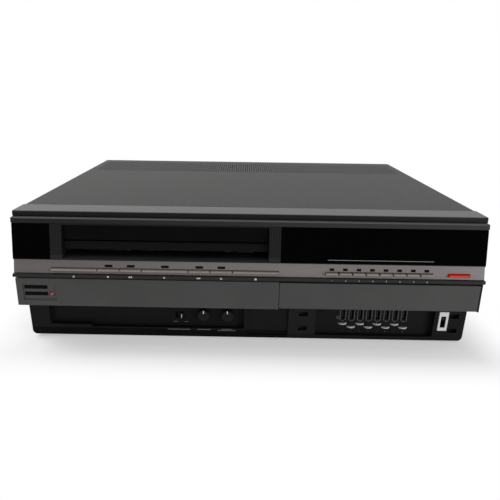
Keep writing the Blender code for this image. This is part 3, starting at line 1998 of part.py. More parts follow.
def make_pinch_roller():
    x, y = pinch_place()
    z = deck_top() + seat_gap
    bore = pinch_post_radius + seat_gap
    hub = bore + 2 * sheet
    profile = [
        (bore, 0),
        (hub, 0),
        (hub, pinch_rise),
        (pinch_radius, pinch_rise),
        (pinch_radius, pinch_rise + pinch_height),
        (bore, pinch_rise + pinch_height),
    ]
    mesh = bmesh.new()
    add_turned(mesh, profile, (x, y, z), steps=20)
    return make_object("pinch_roller", mesh, "rubber", (x, y, z), smooth=True)


def make_recorder():
    clear_scene()
    pieces = [make_base_chassis(), make_rear_panel(), make_top_cover(), make_top_trim()]
    pieces += [make_front_fascia(), make_slot_surround(), make_cassette_door()]
    pieces.append(make_window("badge_window", -plate_end, surround_left - seat_gap))
    pieces.append(make_window("display_window", right_start, plate_end))
    pieces += [make_trim_strip(), make_left_panel(), make_control_flap(), make_control_tray()]
    transport = ("eject", "record", "rewind", "play", "fast_forward", "pause", "stop")
    for name, (left, right) in zip(transport, key_spans()):
        pieces.append(make_key(f"{name}_key", left, right, "key_grey"))
    for i, (left, right) in enumerate(programme_spans()):
        pieces.append(make_key(f"programme_key_{i + 1}", left, right, "key_grey"))
    pieces.append(make_key("operate_key", *operate_span(), "orange_key"))
    for name, place in zip(("timer_button", "memory_button"), button_places()):
        pieces.append(make_left_button(name, place))
    pieces += [make_standby_lamp(), make_input_switch()]
    pieces.append(make_knob("tracking_knob", tracking_knob_share))
    pieces.append(make_knob("picture_knob", picture_knob_share))
    pieces += [make_switch_plate(), make_plate_lever()]
    for i, place in enumerate(wheel_places()):
        pieces.append(make_tuning_wheel(i + 1, place))
    x_foot = half_width - foot_side_inset
    y_feet = (("front", y_edge + foot_front_inset), ("rear", y_rear - foot_rear_inset))
    for row, y in y_feet:
        pieces.append(make_foot(f"{row}_left_foot", -x_foot, y))
        pieces.append(make_foot(f"{row}_right_foot", x_foot, y))
    pieces += [make_deck_plate(), make_feed_slider(), make_cassette_carriage()]
    for name, place in zip(("supply_reel_table", "takeup_reel_table"), reel_places()):
        pieces.append(make_reel_table(name, place))
    pieces += [make_drum_base(), make_drum_rotor(), make_capstan(), make_pinch_roller()]
    pieces += [make_main_board(), make_power_transformer()]
    root = bpy.data.objects.new("recorder", None)
    bpy.context.scene.collection.objects.link(root)
    for piece in pieces:
        piece.parent = root


make_recorder()
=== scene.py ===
"""Looks of a front-loading video cassette recorder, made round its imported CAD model.

Metres, +Z up, the front faces -Y. The CAD nodes keep their shapes and take worked finishes
here, and the small pieces that CAD leaves out are built in mesh code: the indicator lenses,
the printed marks, the screws, the socket inserts and the parts on the board and the deck.
"""

import math

import bmesh
import bpy
from bpy.props import FloatProperty, FloatVectorProperty, PointerProperty
from mathutils import Matrix, Vector
from mathutils.bvhtree import BVHTree


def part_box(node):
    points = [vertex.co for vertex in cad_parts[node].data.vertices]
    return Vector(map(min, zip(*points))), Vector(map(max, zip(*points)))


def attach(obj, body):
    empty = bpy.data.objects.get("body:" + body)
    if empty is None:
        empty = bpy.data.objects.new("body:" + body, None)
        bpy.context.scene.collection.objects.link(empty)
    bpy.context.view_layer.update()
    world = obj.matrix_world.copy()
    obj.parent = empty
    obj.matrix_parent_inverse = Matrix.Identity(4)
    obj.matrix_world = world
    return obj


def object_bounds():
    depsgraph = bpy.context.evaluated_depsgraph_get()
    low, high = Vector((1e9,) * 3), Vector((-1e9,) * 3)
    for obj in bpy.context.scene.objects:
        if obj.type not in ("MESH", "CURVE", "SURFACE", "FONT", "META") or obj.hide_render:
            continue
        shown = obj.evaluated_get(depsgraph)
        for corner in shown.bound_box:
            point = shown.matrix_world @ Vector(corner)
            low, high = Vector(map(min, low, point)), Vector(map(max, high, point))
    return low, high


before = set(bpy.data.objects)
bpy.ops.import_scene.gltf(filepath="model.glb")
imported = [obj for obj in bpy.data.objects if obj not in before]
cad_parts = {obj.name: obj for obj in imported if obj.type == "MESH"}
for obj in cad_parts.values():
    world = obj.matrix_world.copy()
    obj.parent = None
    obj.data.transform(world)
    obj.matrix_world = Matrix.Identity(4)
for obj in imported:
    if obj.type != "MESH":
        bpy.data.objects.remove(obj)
cad_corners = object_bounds()

bl_info = {
    "name": "Cassette recorder finishes",
    "version": (1, 0, 0),
    "blender": (4, 5, 0),
    "location": "View3D > Sidebar > Recorder",
    "description": "Dresses the packed recorder with finishes, lenses, printed marks and screws",
    "category": "Object",
}

CASE = "case"
TRANSPORT_KEYS = ("eject", "record", "rewind", "play", "fast_forward", "pause", "stop")
LIT_KEYS = ("record", "rewind", "play", "fast_forward", "pause")
PROGRAMMES = range(1, 9)
# Its front face runs all round the slot, and would close over it if it were made whole.
RING_FACED = "slot_surround"

WHITE = (1.0, 1.0, 1.0, 1.0)
# Heights from which a ray straight down meets these nodes clear of their higher parts.
SEEN_FROM = {"main_board": 0.12, "deck_plate": 0.09, "power_transformer": 0.09, "drum_rotor": 0.13}
FRONT_LEFT = -0.2200  # outside the front's left edge, where a band of colour starts
REAR_Y = 0.1685  # back face of the rear sheet

# Heights above the floor, from the top of the recorder down.
RAIL_FOOT, LEDGE_FOOT, LIP_TOP, RAIL_TOP = 0.1240, 0.1287, 0.1346, 0.1400
RULE_Z = 0.0951
SILL_FOOT, SILL_TOP = 0.0900, 0.0956
LENS_Z = 0.0858
DOT_Z = 0.0824
KEY_TOP_FOOT = 0.0817
LABEL_RAIL_FOOT, SYMBOL_Z, LABEL_RAIL_TOP = 0.0753, 0.0768, 0.0790
SETTING_PLATE_Z = 0.0622
SOCKETS_Z, INLET_Z = 0.0478, 0.0328
OUTLINE_Z, TRAY_DIGIT_Z = 0.0225, 0.0098


def number(name, description, default, unit="NONE", **limits):
    return FloatProperty(name=name, description=description, default=default, unit=unit, **limits)


def length(name, description, default):
    return number(name, description, default, "LENGTH", min=0.0, precision=5)


def colour(name, description, default):
    return FloatVectorProperty(
        name=name, description=description, default=default, subtype="COLOR", min=0.0, max=1.0
    )


class RecorderColours(bpy.types.PropertyGroup):
    """Colours of the finishes, as they are mixed into the paint or the plastic."""

    cabinet: colour("Cabinet", "Textured paint of the folded cover", (0.036, 0.037, 0.035))
    trim: colour("Top trim", "Satin paint of the band at the front of the top", (0.098, 0.099, 0.098))
    rail: colour("Rail", "Dark band above the windows", (0.013, 0.0125, 0.012))
    label_rail: colour("Label rail", "Brown-black rail under the keys", (0.024, 0.021, 0.020))
    black: colour("Black mouldings", "Fascia, tray and knobs", (0.0048, 0.0048, 0.0053))
    window: colour("Windows", "Gloss acrylic of the two front windows", (0.0006, 0.0006, 0.0009))
    door: colour("Door", "Cassette door", (0.0011, 0.0011, 0.0013))
    strip: colour("Strip", "Mauve-grey satin strip above the keys", (0.098, 0.088, 0.085))
    panel: colour("Panel", "Left panel and flap", (0.048, 0.048, 0.047))
    key: colour("Keys", "Tops of the keys", (0.200, 0.177, 0.160))
    operate: colour("Operate key", "Orange-red key at the right", (0.60, 0.022, 0.010))
    lamp: colour("Lamp", "Red lens of the standby lamp", (0.36, 0.050, 0.065))
    white: colour("White plate", "Plate round the slide switch", (0.62, 0.62, 0.61))
    wheel: colour("Wheels", "Tuning wheels", (0.52, 0.47, 0.44))
    lens: colour("Lenses", "Smoked red indicator lenses", (0.0045, 0.0020, 0.0018))
    ink: colour("Ink", "Pale printed marks", (0.46, 0.45, 0.44))
    faint_ink: colour("Faint ink", "Grey printed marks on the tray", (0.080, 0.078, 0.076))
    zinc: colour("Zinc", "Plated sheet of the base and the deck", (0.40, 0.40, 0.38))
    spangle: colour("Spangle", "Brighter crystals in the zinc", (0.52, 0.52, 0.49))
    steel: colour("Bright steel", "Turned and drawn metal", (0.60, 0.60, 0.61))
    rear: colour("Rear paint", "Grey-black paint of the rear sheet", (0.022, 0.022, 0.022))
    rubber: colour("Rubber", "Feet and rollers", (0.012, 0.012, 0.012))
    copper: colour("Winding", "Lacquered copper wire", (0.42, 0.13, 0.045))
    sleeve: colour("Sleeves", "Shrunk sleeves of the capacitors", (0.012, 0.014, 0.034))
    resin: colour("Resin", "Bodies of the resistors", (0.36, 0.22, 0.11))
    signal: colour("Signal", "Yellow ring of the picture socket", (0.62, 0.44, 0.03))
    board: colour("Board", "Laminate of the circuit board", (0.020, 0.070, 0.030))
    solder: colour("Solder", "Tinned pads on the board", (0.42, 0.40, 0.36))
    iron: colour("Iron", "Laminated core", (0.050, 0.050, 0.055))
    dust: colour("Dust", "Specks on the windows", (0.02, 0.02, 0.02))
    paper: colour("Floor", "Pale floor under the recorder", (0.86, 0.86, 0.86))


class RecorderSizes(bpy.types.PropertyGroup):
    """Sizes of the small pieces and of the detail in the finishes."""

    edge: length("Edge radius", "Radius that moulding and folding leave on an edge", 0.00022)
    ink_height: length("Ink height", "How far printed marks stand proud", 0.00003)
    ink_line: length("Ink line", "Width of a printed line", 0.00045)
    symbol: length("Symbol", "Height of a transport symbol", 0.0019)
    digit: length("Digit", "Height of a digit on the label rail", 0.0016)
    tray_line: length("Tray line", "Width of a printed line on the tray", 0.0005)
    tray_digit: length("Tray digit", "Height of a digit under the wheels", 0.0017)
    lens_width: length("Lens", "Width of a transport lens", 0.0070)
    small_lens_width: length("Small lens", "Width of a programme lens", 0.0047)
    lens_height: length("Lens height", "Height of every indicator lens", 0.0022)
    lens_depth: length("Lens depth", "Thickness of a lens", 0.0010)
    lens_sink: length("Lens sink", "How far a lens sits behind the strip", 0.00025)
    screw_head: length("Screw head", "Radius of a cover screw's head", 0.0032)
    screw_rise: length("Screw rise", "Height of a cover screw's head", 0.0009)


class RecorderStage(bpy.types.PropertyGroup):
    """Camera, lamps and floor."""

    eye: FloatVectorProperty(
        name="Camera", description="Place of the camera", default=(-0.0067, -0.6131, 0.2453), unit="LENGTH"
    )
    pitch: number("Pitch", "Downward tilt", 0.3166, "ROTATION")
    yaw: number("Yaw", "Turn to the right", -0.0090, "ROTATION")
    roll: number("Roll", "Turn about the view", 0.0135, "ROTATION")
    lens: number("Lens", "Focal length in millimetres", 36.72)
    shift_x: number("Shift X", "Framing shift across", 0.0261)
    shift_y: number("Shift Y", "Framing shift upwards", 0.0066)
    sky: number("Sky", "Brightness of the surroundings on the object", 0.42)
    key_power: number("Key lamp", "Power of the large lamp", 12.0, "POWER")
    fill_power: number("Fill lamp", "Power of the front lamp", 17.0, "POWER")
    floor_radius: length("Floor", "Radius of the floor", 6.0)
    floor_lift: number("Floor lift", "How white the floor near the object shows", 0.34)
    floor_fade: length("Floor fade", "Distance from the object at which the floor is plain white", 0.056)


def colours():
    return bpy.context.scene.recorder_colours


def sizes():
    return bpy.context.scene.recorder_sizes


def lighter(base, times=1.5):
    return tuple(min(1.0, value * times + 0.004) for value in base)


def set_up(made, **settings):
    for name, value in settings.items():
        setattr(made, name, value)
    return made


def add_node(tree, kind, inputs=None, **settings):
    """The outputs of a new shader node, whose inputs are linked to sockets or set to values."""
    node = set_up(tree.nodes.new("ShaderNode" + kind), **settings)
    for name, value in (inputs or {}).items():
        if isinstance(value, bpy.types.NodeSocket):
            tree.links.new(value, node.inputs[name])
        else:
            node.inputs[name].default_value = value
    return node.outputs


class Finish:
    """A Principled material with the nodes that give one real finish its detail."""

    def __init__(self, name, base, roughness, metallic=0.0, shine=0.5):
        self.material = bpy.data.materials.new(name)
        self.material.use_nodes = True
        self.tree = self.material.node_tree
        self.shader = self.tree.nodes["Principled BSDF"]
        self.colour = tuple(base)
        self.base = (*self.colour, 1.0)
        self.normal = None
        self.shader.inputs["Base Color"].default_value = self.base
        self.shader.inputs["Roughness"].default_value = roughness
        self.shader.inputs["Metallic"].default_value = metallic
        self.shader.inputs["Specular IOR Level"].default_value = shine
        self.place = self.add("TexCoord")["Object"]

    def add(self, kind, inputs=None, **settings):
        return add_node(self.tree, kind, inputs, **settings)

    def drive(self, name, source):
        """Links a pattern to an input of the shader."""
        self.tree.links.new(source, self.shader.inputs[name])
        return self

    def noise(self, scale, detail=2.0, stretch=None):
        place = self.place
        if stretch is not None:
            place = self.add("Mapping", {"Vector": place, "Scale": stretch})["Vector"]
        return self.add("TexNoise", {"Vector": place, "Scale": scale, "Detail": detail})["Fac"]

    def cells(self, scale, output="Distance"):
        return self.add("TexVoronoi", {"Vector": self.place, "Scale": scale})[output]

    def bands(self, scale, direction, distortion=0.0):
        inputs = {"Vector": self.place, "Scale": scale, "Distortion": distortion}
        return self.add("TexWave", inputs, bands_direction=direction)["Fac"]

    def ranged(self, source, low, high, to_low=0.0, to_high=1.0, curve="LINEAR"):
        inputs = {"Value": source, "From Min": low, "From Max": high, "To Min": to_low, "To Max": to_high}
        return self.add("MapRange", inputs, interpolation_type=curve)["Result"]

    def math(self, operation, *values):
        return self.add("Math", dict(enumerate(values)), operation=operation)[0]

    def along(self, axis):
        return self.add("SeparateXYZ", {0: self.place})[axis]

    def zone(self, axis, low, high):
        """1 where the coordinate on the axis lies between low and high."""
        value = self.along(axis)
        above, below = self.math("GREATER_THAN", value, low), self.math("LESS_THAN", value, high)
        return self.math("MULTIPLY", above, below)

    def patch(self, across, upward):
        """1 inside a rectangle of the front, from its spans in x and in z."""
        return self.math("MULTIPLY", self.zone("X", *across), self.zone("Z", *upward))

    def edges(self, radius):
        """1 along the edges, from how far the rounded normal leaves the true one."""
        rounded = self.add("Bevel", {"Radius": radius}, samples=4)["Normal"]
        true = self.add("NewGeometry")["Normal"]
        alike = self.add("VectorMath", {0: rounded, 1: true}, operation="DOT_PRODUCT")["Value"]
        return self.ranged(alike, 0.99, 0.85)

    def tint(self, factor, second):
        """Mixes the colour so far towards a second one by the factor."""
        inputs = {0: factor, 6: self.base, 7: (*second, 1.0)}
        self.base = self.add("Mix", inputs, data_type="RGBA")[2]
        return self.drive("Base Color", self.base)

    def shade(self, factor, times=1.5):
        """Mixes the colour towards a lighter or darker shade of the finish's own."""
        return self.tint(factor, lighter(self.colour, times))

    def mottle(self, scale, share, stretch=None):
        """Lightens the finish by a share in soft patches."""
        factor = self.ranged(self.noise(scale, 2.0, stretch), 0.35, 0.65)
        return self.shade(self.math("MULTIPLY", factor, share))

    def worn(self, radius=0.0005, share=0.35):
        """Pales the edges that hands and cloths rub."""
        patchy = self.ranged(self.noise(160.0, 3.0), 0.40, 0.62)
        factor = self.math("MULTIPLY", self.math("MULTIPLY", self.edges(radius), patchy), share)
        return self.shade(factor, 2.2)

    def rough(self, low, high, scale, detail=3.0, stretch=None):
        """Spreads the roughness between two values in soft patches."""
        return self.drive("Roughness", self.ranged(self.noise(scale, detail, stretch), 0.3, 0.7, low, high))

    def gloss(self, zone, inside, outside):
        """Sets how strongly the finish reflects inside a zone and outside it."""
        return self.drive("Specular IOR Level", self.ranged(zone, 0.0, 1.0, outside, inside))

    def bump(self, source, distance, strength):
        inputs = {"Height": source, "Distance": distance, "Strength": strength}
        if self.normal:
            inputs["Normal"] = self.normal
        self.normal = self.add("Bump", inputs)["Normal"]
        return self.drive("Normal", self.normal)

    def grain(self, distance, strength, scale, detail=2.0, stretch=None):
        """Raises a fine grain of noise."""
        return self.bump(self.noise(scale, detail, stretch), distance, strength)


def cabinet_paint():
    """Fine textured paint on folded steel, with the light dust that settles in it."""
    finish = Finish("cabinet_paint", colours().cabinet, 0.52, shine=0.12).mottle(9.0, 0.02)
    finish.shade(finish.ranged(finish.cells(2100.0), 0.02, 0.45, 0.35, 0.0), 1.8)
    finish.worn(0.0008, 0.5)
    return finish.rough(0.50, 0.56, 260.0).grain(0.00005, 0.5, 1500.0).material


def trim_paint():
    """Satin paint of the top band, and the black of its turned-down lip."""
    finish = Finish("trim_paint", colours().trim, 0.45, shine=0.20)
    finish.mottle(14.0, 0.02).worn(0.0006, 0.4)
    lip = finish.zone("Z", 0.0, LIP_TOP)
    finish.tint(lip, colours().black).gloss(lip, 0.13, 0.20)
    return finish.rough(0.42, 0.48, 260.0).grain(0.00003, 0.5, 2200.0).material


def moulded(name, base, roughness=0.5, shine=0.10, grain=0.00005, wear=0.0):
    """Spark-eroded grain of a moulding, with a little dust and paler rubbed edges."""
    finish = Finish(name, base, roughness, shine=shine).mottle(25.0, 0.20)
    if wear:
        finish.worn(share=wear)
    return finish.rough(roughness - 0.06, roughness + 0.06, 110.0).grain(grain, 0.8, 2600.0)


def fascia_moulding():
    """Black moulding, with its rail above the windows and the label rail under the keys, and painted light:
    the rail paler towards the right, a highlight on its ledge and a lightened wall under the label rail.
    """
    finish = moulded("fascia_moulding", colours().black)
    rail = finish.zone("Z", RAIL_FOOT, RAIL_TOP)
    # Painted light: the rail is made paler towards the right, as light falls on it.
    painted_light_rightward = finish.ranged(finish.along("X"), -0.16, 0.10)
    finish.tint(rail, colours().rail)
    finish.tint(finish.math("MULTIPLY", painted_light_rightward, rail), lighter(colours().rail, 1.7))
    # Painted highlight: the ledge's upward face is painted pale where light catches it.
    finish.tint(finish.zone("Z", LEDGE_FOOT, RAIL_TOP), lighter(colours().rail, 6.5))
    finish.tint(finish.zone("Z", LABEL_RAIL_FOOT, LABEL_RAIL_TOP), colours().label_rail)
    # Painted light: the shaded wall under the label rail is painted lighter, in the panel's tone.
    under = finish.patch((FRONT_LEFT, 0.0290), (0.0726, LABEL_RAIL_FOOT))
    return finish.tint(under, lighter(colours().panel, 1.6)).material


def tray_moulding():
    """Black moulding, with painted light on the block between the two recesses, painted shade along its foot
    and a dulled reflection as painted shade on the left sill.
    """
    finish = moulded("tray_moulding", colours().black, 0.55, 0.08)
    # Painted light: the raised block between the two recesses is painted paler, as it catches more light.
    finish.shade(finish.patch((0.0413, 0.0679), (0.0075, 0.0470)), 1.3)
    # Painted shade: the foot of the tray is painted darker.
    finish.shade(finish.zone("Z", 0.0, 0.0070), 0.2)
    # Painted shade: the reflection is dulled along the foot of the left part, so that the bay's sill shows
    # dark as in shade.
    return finish.gloss(finish.patch((FRONT_LEFT, 0.0410), (0.0, 0.0109)), 0.015, 0.08).material


def surround_moulding():
    """Black moulding with upright ribs beside the slot and a paler sill under it."""
    finish = moulded("surround_moulding", colours().black, 0.42, 0.10)
    beside = finish.math("ADD", finish.zone("X", -0.1830, -0.1722), finish.zone("X", 0.0193, 0.0300))
    ribs = finish.math("MULTIPLY", finish.bands(126.0, "X"), beside)
    finish.shade(finish.math("MULTIPLY", ribs, 0.8), 1.4)
    sill = finish.math("MULTIPLY", finish.zone("Z", SILL_FOOT, SILL_TOP), finish.zone("Y", -0.1800, -0.1655))
    return finish.shade(sill, 2.6).bump(ribs, 0.00012, 0.8).material


def door_moulding():
    """Black door, with painted light on the rib along the foot and painted shade in the groove above that."""
    finish = moulded("door_moulding", colours().door, 0.45, 0.035)
    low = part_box("cassette_door")[0].z
    rib_top, groove_top = low + 0.0076, low + 0.0090
    # Painted light: the rib along the foot is painted paler where light catches it.
    finish.shade(finish.zone("Z", low, rib_top), 1.2)
    # Painted shade: the groove above the rib is painted black and made dull, as shade falls in it.
    groove = finish.zone("Z", rib_top, groove_top)
    return finish.tint(groove, (0.0, 0.0, 0.0)).gloss(groove, 0.0, 0.035).material


def window_acrylic():
    """Polished acrylic with hairline wiping marks and a few specks of dust."""
    finish = Finish("window_acrylic", colours().window, 0.07, shine=0.01)
    finish.tint(finish.ranged(finish.cells(420.0), 0.06, 0.03, 0.0, 0.20), colours().dust)
    finish.rough(0.05, 0.13, 40.0, 4.0, (1.0, 1.0, 14.0))
    return finish.grain(0.00005, 0.3, 12.0).material


def satin_strip():
    """Mauve-grey lacquer over brushed metal foil, with a painted sheen, palest about the middle of the front.
    """
    brushing = (0.02, 1.0, 1.0)
    finish = Finish("satin_strip", colours().strip, 0.36, metallic=0.15)
    # Painted sheen: the strip is painted paler about the middle of the front, as a reflection.
    distance_from_painted_sheen = finish.math("ABSOLUTE", finish.math("SUBTRACT", finish.along("X"), 0.035))
    finish.shade(finish.ranged(distance_from_painted_sheen, 0.02, 0.19, 1.0, 0.0))
    finish.mottle(900.0, 0.22, (0.03, 1.0, 1.0)).mottle(12.0, 0.12).worn(0.0004, 0.6)
    finish.rough(0.30, 0.42, 1400.0, 2.0, brushing)
    return finish.grain(0.00002, 0.5, 1800.0, 2.0, brushing).material


def key_plastic():
    """Smooth tan-grey keys, a little more polished where fingers press, and painted darker below their tops
    as painted shade.
    """
    finish = Finish("key_plastic", colours().key, 0.38, shine=0.45).mottle(60.0, 0.12)
    # Painted shade: the face below the key's top is painted darker, as it turns away from the light.
    finish.shade(finish.zone("Z", 0.0, KEY_TOP_FOOT), 0.55).worn(0.0004, 0.5)
    return finish.rough(0.30, 0.44, 240.0).grain(0.00002, 0.6, 2400.0).material


def lamp_lens(name, base, depth, shine=0.6):
    """Tinted clear plastic with moulded ribs behind its face."""
    finish = Finish(name, base, 0.16, shine=shine)
    finish.shader.inputs["Transmission Weight"].default_value = depth
    finish.shader.inputs["IOR"].default_value = 1.49
    finish.mottle(500.0, 0.35).rough(0.12, 0.22, 300.0, 2.0)
    return finish.bump(finish.bands(420.0, "X"), 0.00004, 0.4).material


def rear_paint():
    """Grey-black paint on the rear sheet, with fine orange peel and a few rubbed edges."""
    finish = Finish("rear_paint", colours().rear, 0.48, shine=0.25)
    finish.mottle(30.0, 0.15).worn(0.0006, 0.6)
    return finish.rough(0.42, 0.55, 70.0).grain(0.00005, 0.6, 1100.0).material


def plated_zinc(name, foot=0.0):
    """Zinc plate with a soft spangle and rolling lines, blackened up to a foot as painted shade if there is
    one.
    """
    finish = Finish(name, colours().zinc, 0.40, metallic=1.0)
    finish.tint(finish.ranged(finish.cells(230.0, "Color"), 0.2, 0.9, 0.0, 0.30), colours().spangle)
    finish.mottle(900.0, 0.18, (0.03, 1.0, 1.0))
    if foot:
        finish.tint(finish.zone("Z", 0.0, foot), colours().black)
    return finish.rough(0.32, 0.50, 90.0).grain(0.00003, 0.4, 420.0, 3.0).material


def turned_steel(name):
    """Bright metal with the fine rings left by turning."""
    finish = Finish(name, colours().steel, 0.24, metallic=1.0).mottle(70.0, 0.20)
    finish.rough(0.16, 0.30, 500.0, 2.0, (1.0, 1.0, 0.1))
    return finish.bump(finish.bands(900.0, "Z"), 0.00001, 0.35).material


def rubber_compound(name):
    """Matt moulded rubber, greyed unevenly with age."""
    finish = Finish(name, colours().rubber, 0.82, shine=0.3).mottle(40.0, 0.5)
    return finish.rough(0.74, 0.90, 150.0).grain(0.00006, 0.7, 1300.0, 3.0).material


def board_laminate():
    """Solder-masked laminate with rows of tracks and pads."""
    finish = Finish("board_laminate", colours().board, 0.38)
    tracks = finish.ranged(finish.bands(260.0, "X", 6.0), 0.55, 0.62)
    finish.shade(tracks, 2.0)
    finish.tint(finish.ranged(finish.cells(330.0), 0.16, 0.12), colours().solder)
    return finish.rough(0.30, 0.46, 120.0, 2.0).bump(tracks, 0.00004, 0.5).material


def core_laminations():
    """Varnished iron laminations, seen as fine lines."""
    finish = Finish("core_laminations", colours().iron, 0.45, metallic=0.6)
    lines = finish.bands(520.0, "Y")
    finish.shade(finish.ranged(lines, 0.2, 0.8, 0.0, 0.6), 2.4)
    return finish.rough(0.36, 0.55, 200.0).bump(lines, 0.00008, 0.6).material


def winding_wire():
    """Lacquered wire laid turn by turn."""
    finish = Finish("winding_wire", colours().copper, 0.34, metallic=0.8)
    turns = finish.bands(700.0, "Z")
    finish.shade(finish.ranged(turns, 0.1, 0.9, 0.0, 0.7), 0.25)
    return finish.rough(0.28, 0.42, 300.0, 2.0).bump(turns, 0.0001, 0.8).material


def printed_ink(name, base):
    """Screen-printed ink, a little uneven in its cover."""
    return Finish(name, base, 0.5, shine=0.4).mottle(1500.0, 0.25).rough(0.44, 0.56, 700.0, 2.0).material


def made_once(name, maker, *details):
    """The finish of that name, made when it is first asked for."""
    return bpy.data.materials.get(name) or maker(name, *details)


def steel():
    return made_once("turned_steel", turned_steel)


def zinc():
    return made_once("plated_zinc", plated_zinc)


def rubber():
    return made_once("rubber_compound", rubber_compound)


def ink(name, base):
    return made_once(name, printed_ink, base)


def round_edges(node, radius):
    """Rounds the sharp edges of a CAD node a little; its own mesh stays as it is."""
    add = node.modifiers.new
    set_up(add("joined_corners", "WELD"), merge_threshold=1e-6)
    if node.name != RING_FACED:
        flat = add("whole_faces", "DECIMATE")
        set_up(flat, decimate_type="DISSOLVE", angle_limit=math.radians(0.4))
    bevel = add("edge_radius", "BEVEL")
    set_up(bevel, width=radius, segments=2, use_clamp_overlap=True)
    set_up(bevel, limit_method="ANGLE", angle_limit=math.radians(32.0))
    set_up(add("face_normals", "WEIGHTED_NORMAL"), weight=100, keep_sharp=True)


def dress(names, material, radius=None):
    """Gives CAD nodes their finish, and a small radius on their edges."""
    for name in names:
        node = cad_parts[name]
        for slot in node.material_slots:
            slot.material = material
        round_edges(node, sizes().edge if radius is None else radius)


trees = {}


def face_at(node, start, aim):
    """Where a ray first meets a CAD node, and the way that face looks."""
    if node not in trees:
        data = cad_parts[node].data
        corners = [vertex.co for vertex in data.vertices]
        trees[node] = BVHTree.FromPolygons(corners, [tuple(face.vertices) for face in data.polygons])
    point, normal, _, _ = trees[node].ray_cast(Vector(start), Vector(aim))
    if point is None:
        raise RuntimeError(f"no face of {node} is met from {tuple(start)}")
    return point, -normal if normal.dot(Vector(aim)) > 0 else normal


def seat(node, start, aim, upward=(0.0, 0.0, 1.0), inward=0.0):
    """A frame on a face of a CAD node: z out of the face, y as near upward as it can be."""
    point, out = face_at(node, start, aim)
    right = Vector(upward).cross(out).normalized()
    up = out.cross(right)
    rows = [(right[i], up[i], out[i]) for i in range(3)]
    return Matrix.Translation(point - out * inward) @ Matrix(rows).to_4x4()


def front_seat(node, x, z, inward=0.0):
    return seat(node, (x, -1.0, z), (0.0, 1.0, 0.0), inward=inward)


def top_seat(node, x, y):
    return seat(node, (x, y, SEEN_FROM[node]), (0.0, 0.0, -1.0), upward=(0.0, 1.0, 0.0))


def moved_across(place, x):
    """The same frame at another x, for a face that a hole or a slot breaks there."""
    place.translation.x = x
    return place


def strip_seat(x, z, inward=0.0):
    """On the strip's leaning face, which is the same all the way across, holes or none."""
    return moved_across(front_seat("trim_strip", -0.205, z, inward), x)


def joined(mesh, lower, upper):
    """Adds the side faces between two rings of corners, either of which can be one point."""
    count = max(len(lower), len(upper))
    for i in range(count):
        j = (i + 1) % count
        corners = (lower[i % len(lower)], lower[j % len(lower)], upper[j % len(upper)], upper[i % len(upper)])
        unique = list(dict.fromkeys(corners))
        if len(unique) > 2:
            mesh.faces.new(unique)


def outline_plate(mesh, outline, height, chamfer=0.0, sink=0.0):
    """Adds a flat plate with a bevelled front edge to the mesh, from its outline in x and y."""
    middle = Vector((sum(p[0] for p in outline), sum(p[1] for p in outline), 0.0)) / len(outline)
    levels = [(-sink, 0.0), (max(height - chamfer, -sink + 1e-6), 0.0)]
    if chamfer:
        levels.append((height, chamfer))
    rings = []
    for level, inset in levels:
        ring = []
        for x, y in outline:
            corner = Vector((x, y, 0.0)) - middle
            corner *= max(0.0, 1.0 - inset / max(corner.length, 1e-9))
            ring.append(mesh.verts.new(middle + corner + Vector((0.0, 0.0, level))))
        rings.append(ring)
    for lower, upper in zip(rings, rings[1:]):
        joined(mesh, lower, upper)
    mesh.faces.new(rings[-1])
    mesh.faces.new(list(reversed(rings[0])))


def rounded_rectangle(width, height, radius, steps=4, centre=(0.0, 0.0)):
    points = []
    for quarter, (sx, sy) in enumerate(((1, 1), (-1, 1), (-1, -1), (1, -1))):
        cx = centre[0] + sx * (width / 2 - radius)
        cy = centre[1] + sy * (height / 2 - radius)
        for i in range(steps + 1):
            angle = math.pi / 2 * (quarter + i / steps)
            points.append((cx + radius * math.cos(angle), cy + radius * math.sin(angle)))
    return points


def circle(radius, steps=20):
    turn = 2 * math.pi / steps
    return [(radius * math.cos(i * turn), radius * math.sin(i * turn)) for i in range(steps)]


def turned(mesh, profile, steps, place):
    """Adds a lathe-turned solid about the place's z axis, from (radius, height) pairs."""
    rings = []
    for radius, height in profile:
        points = circle(radius, steps) if radius > 1e-9 else [(0.0, 0.0)]
        rings.append([mesh.verts.new((x, y, height)) for x, y in points])
    for lower, upper in zip(rings, rings[1:]):
        joined(mesh, lower, upper)
    made = [vertex for ring in rings for vertex in ring]
    bmesh.ops.transform(mesh, matrix=place, verts=made)
    if profile[0] == profile[-1]:
        bmesh.ops.remove_doubles(mesh, verts=made, dist=1e-7)


def ring_plate(mesh, outer, inner, height, chamfer):
    """Adds a flat frame with a bevelled outer edge, from two outlines of as many points."""
    across, along = 1 - chamfer / max(x for x, _ in outer), 1 - chamfer / max(y for _, y in outer)
    shrunk = [(x * across, y * along) for x, y in outer]
    levels = ((outer, 0.0), (outer, height - chamfer), (shrunk, height), (inner, height), (inner, 0.0))
    rings = [[mesh.verts.new((x, y, z)) for x, y in outline] for outline, z in levels]
    for lower, upper in zip(rings, rings[1:] + rings[:1]):
        joined(mesh, lower, upper)


def piece(name, mesh, material, body=CASE, place=None):
    """Turns a mesh into a named piece, in its place, riding on a body of the frame."""
    bmesh.ops.recalc_face_normals(mesh, faces=mesh.faces)
    if place is not None:
        bmesh.ops.transform(mesh, matrix=place, verts=mesh.verts)
    data = bpy.data.meshes.new(name)
    mesh.to_mesh(data)
    mesh.free()
    data.materials.append(material)
    data.polygons.foreach_set("use_smooth", [False] * len(data.polygons))
    made = bpy.data.objects.new(name, data)
    bpy.context.scene.collection.objects.link(made)
    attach(made, body)


def plates(name, outlines, height, material, place, chamfer=0.0, sink=0.0, body=CASE):
    """Makes one piece of flat plates of one height, from their outlines."""
    mesh = bmesh.new()
    for outline in outlines:
        outline_plate(mesh, outline, height, chamfer, sink)
    piece(name, mesh, material, body, place)


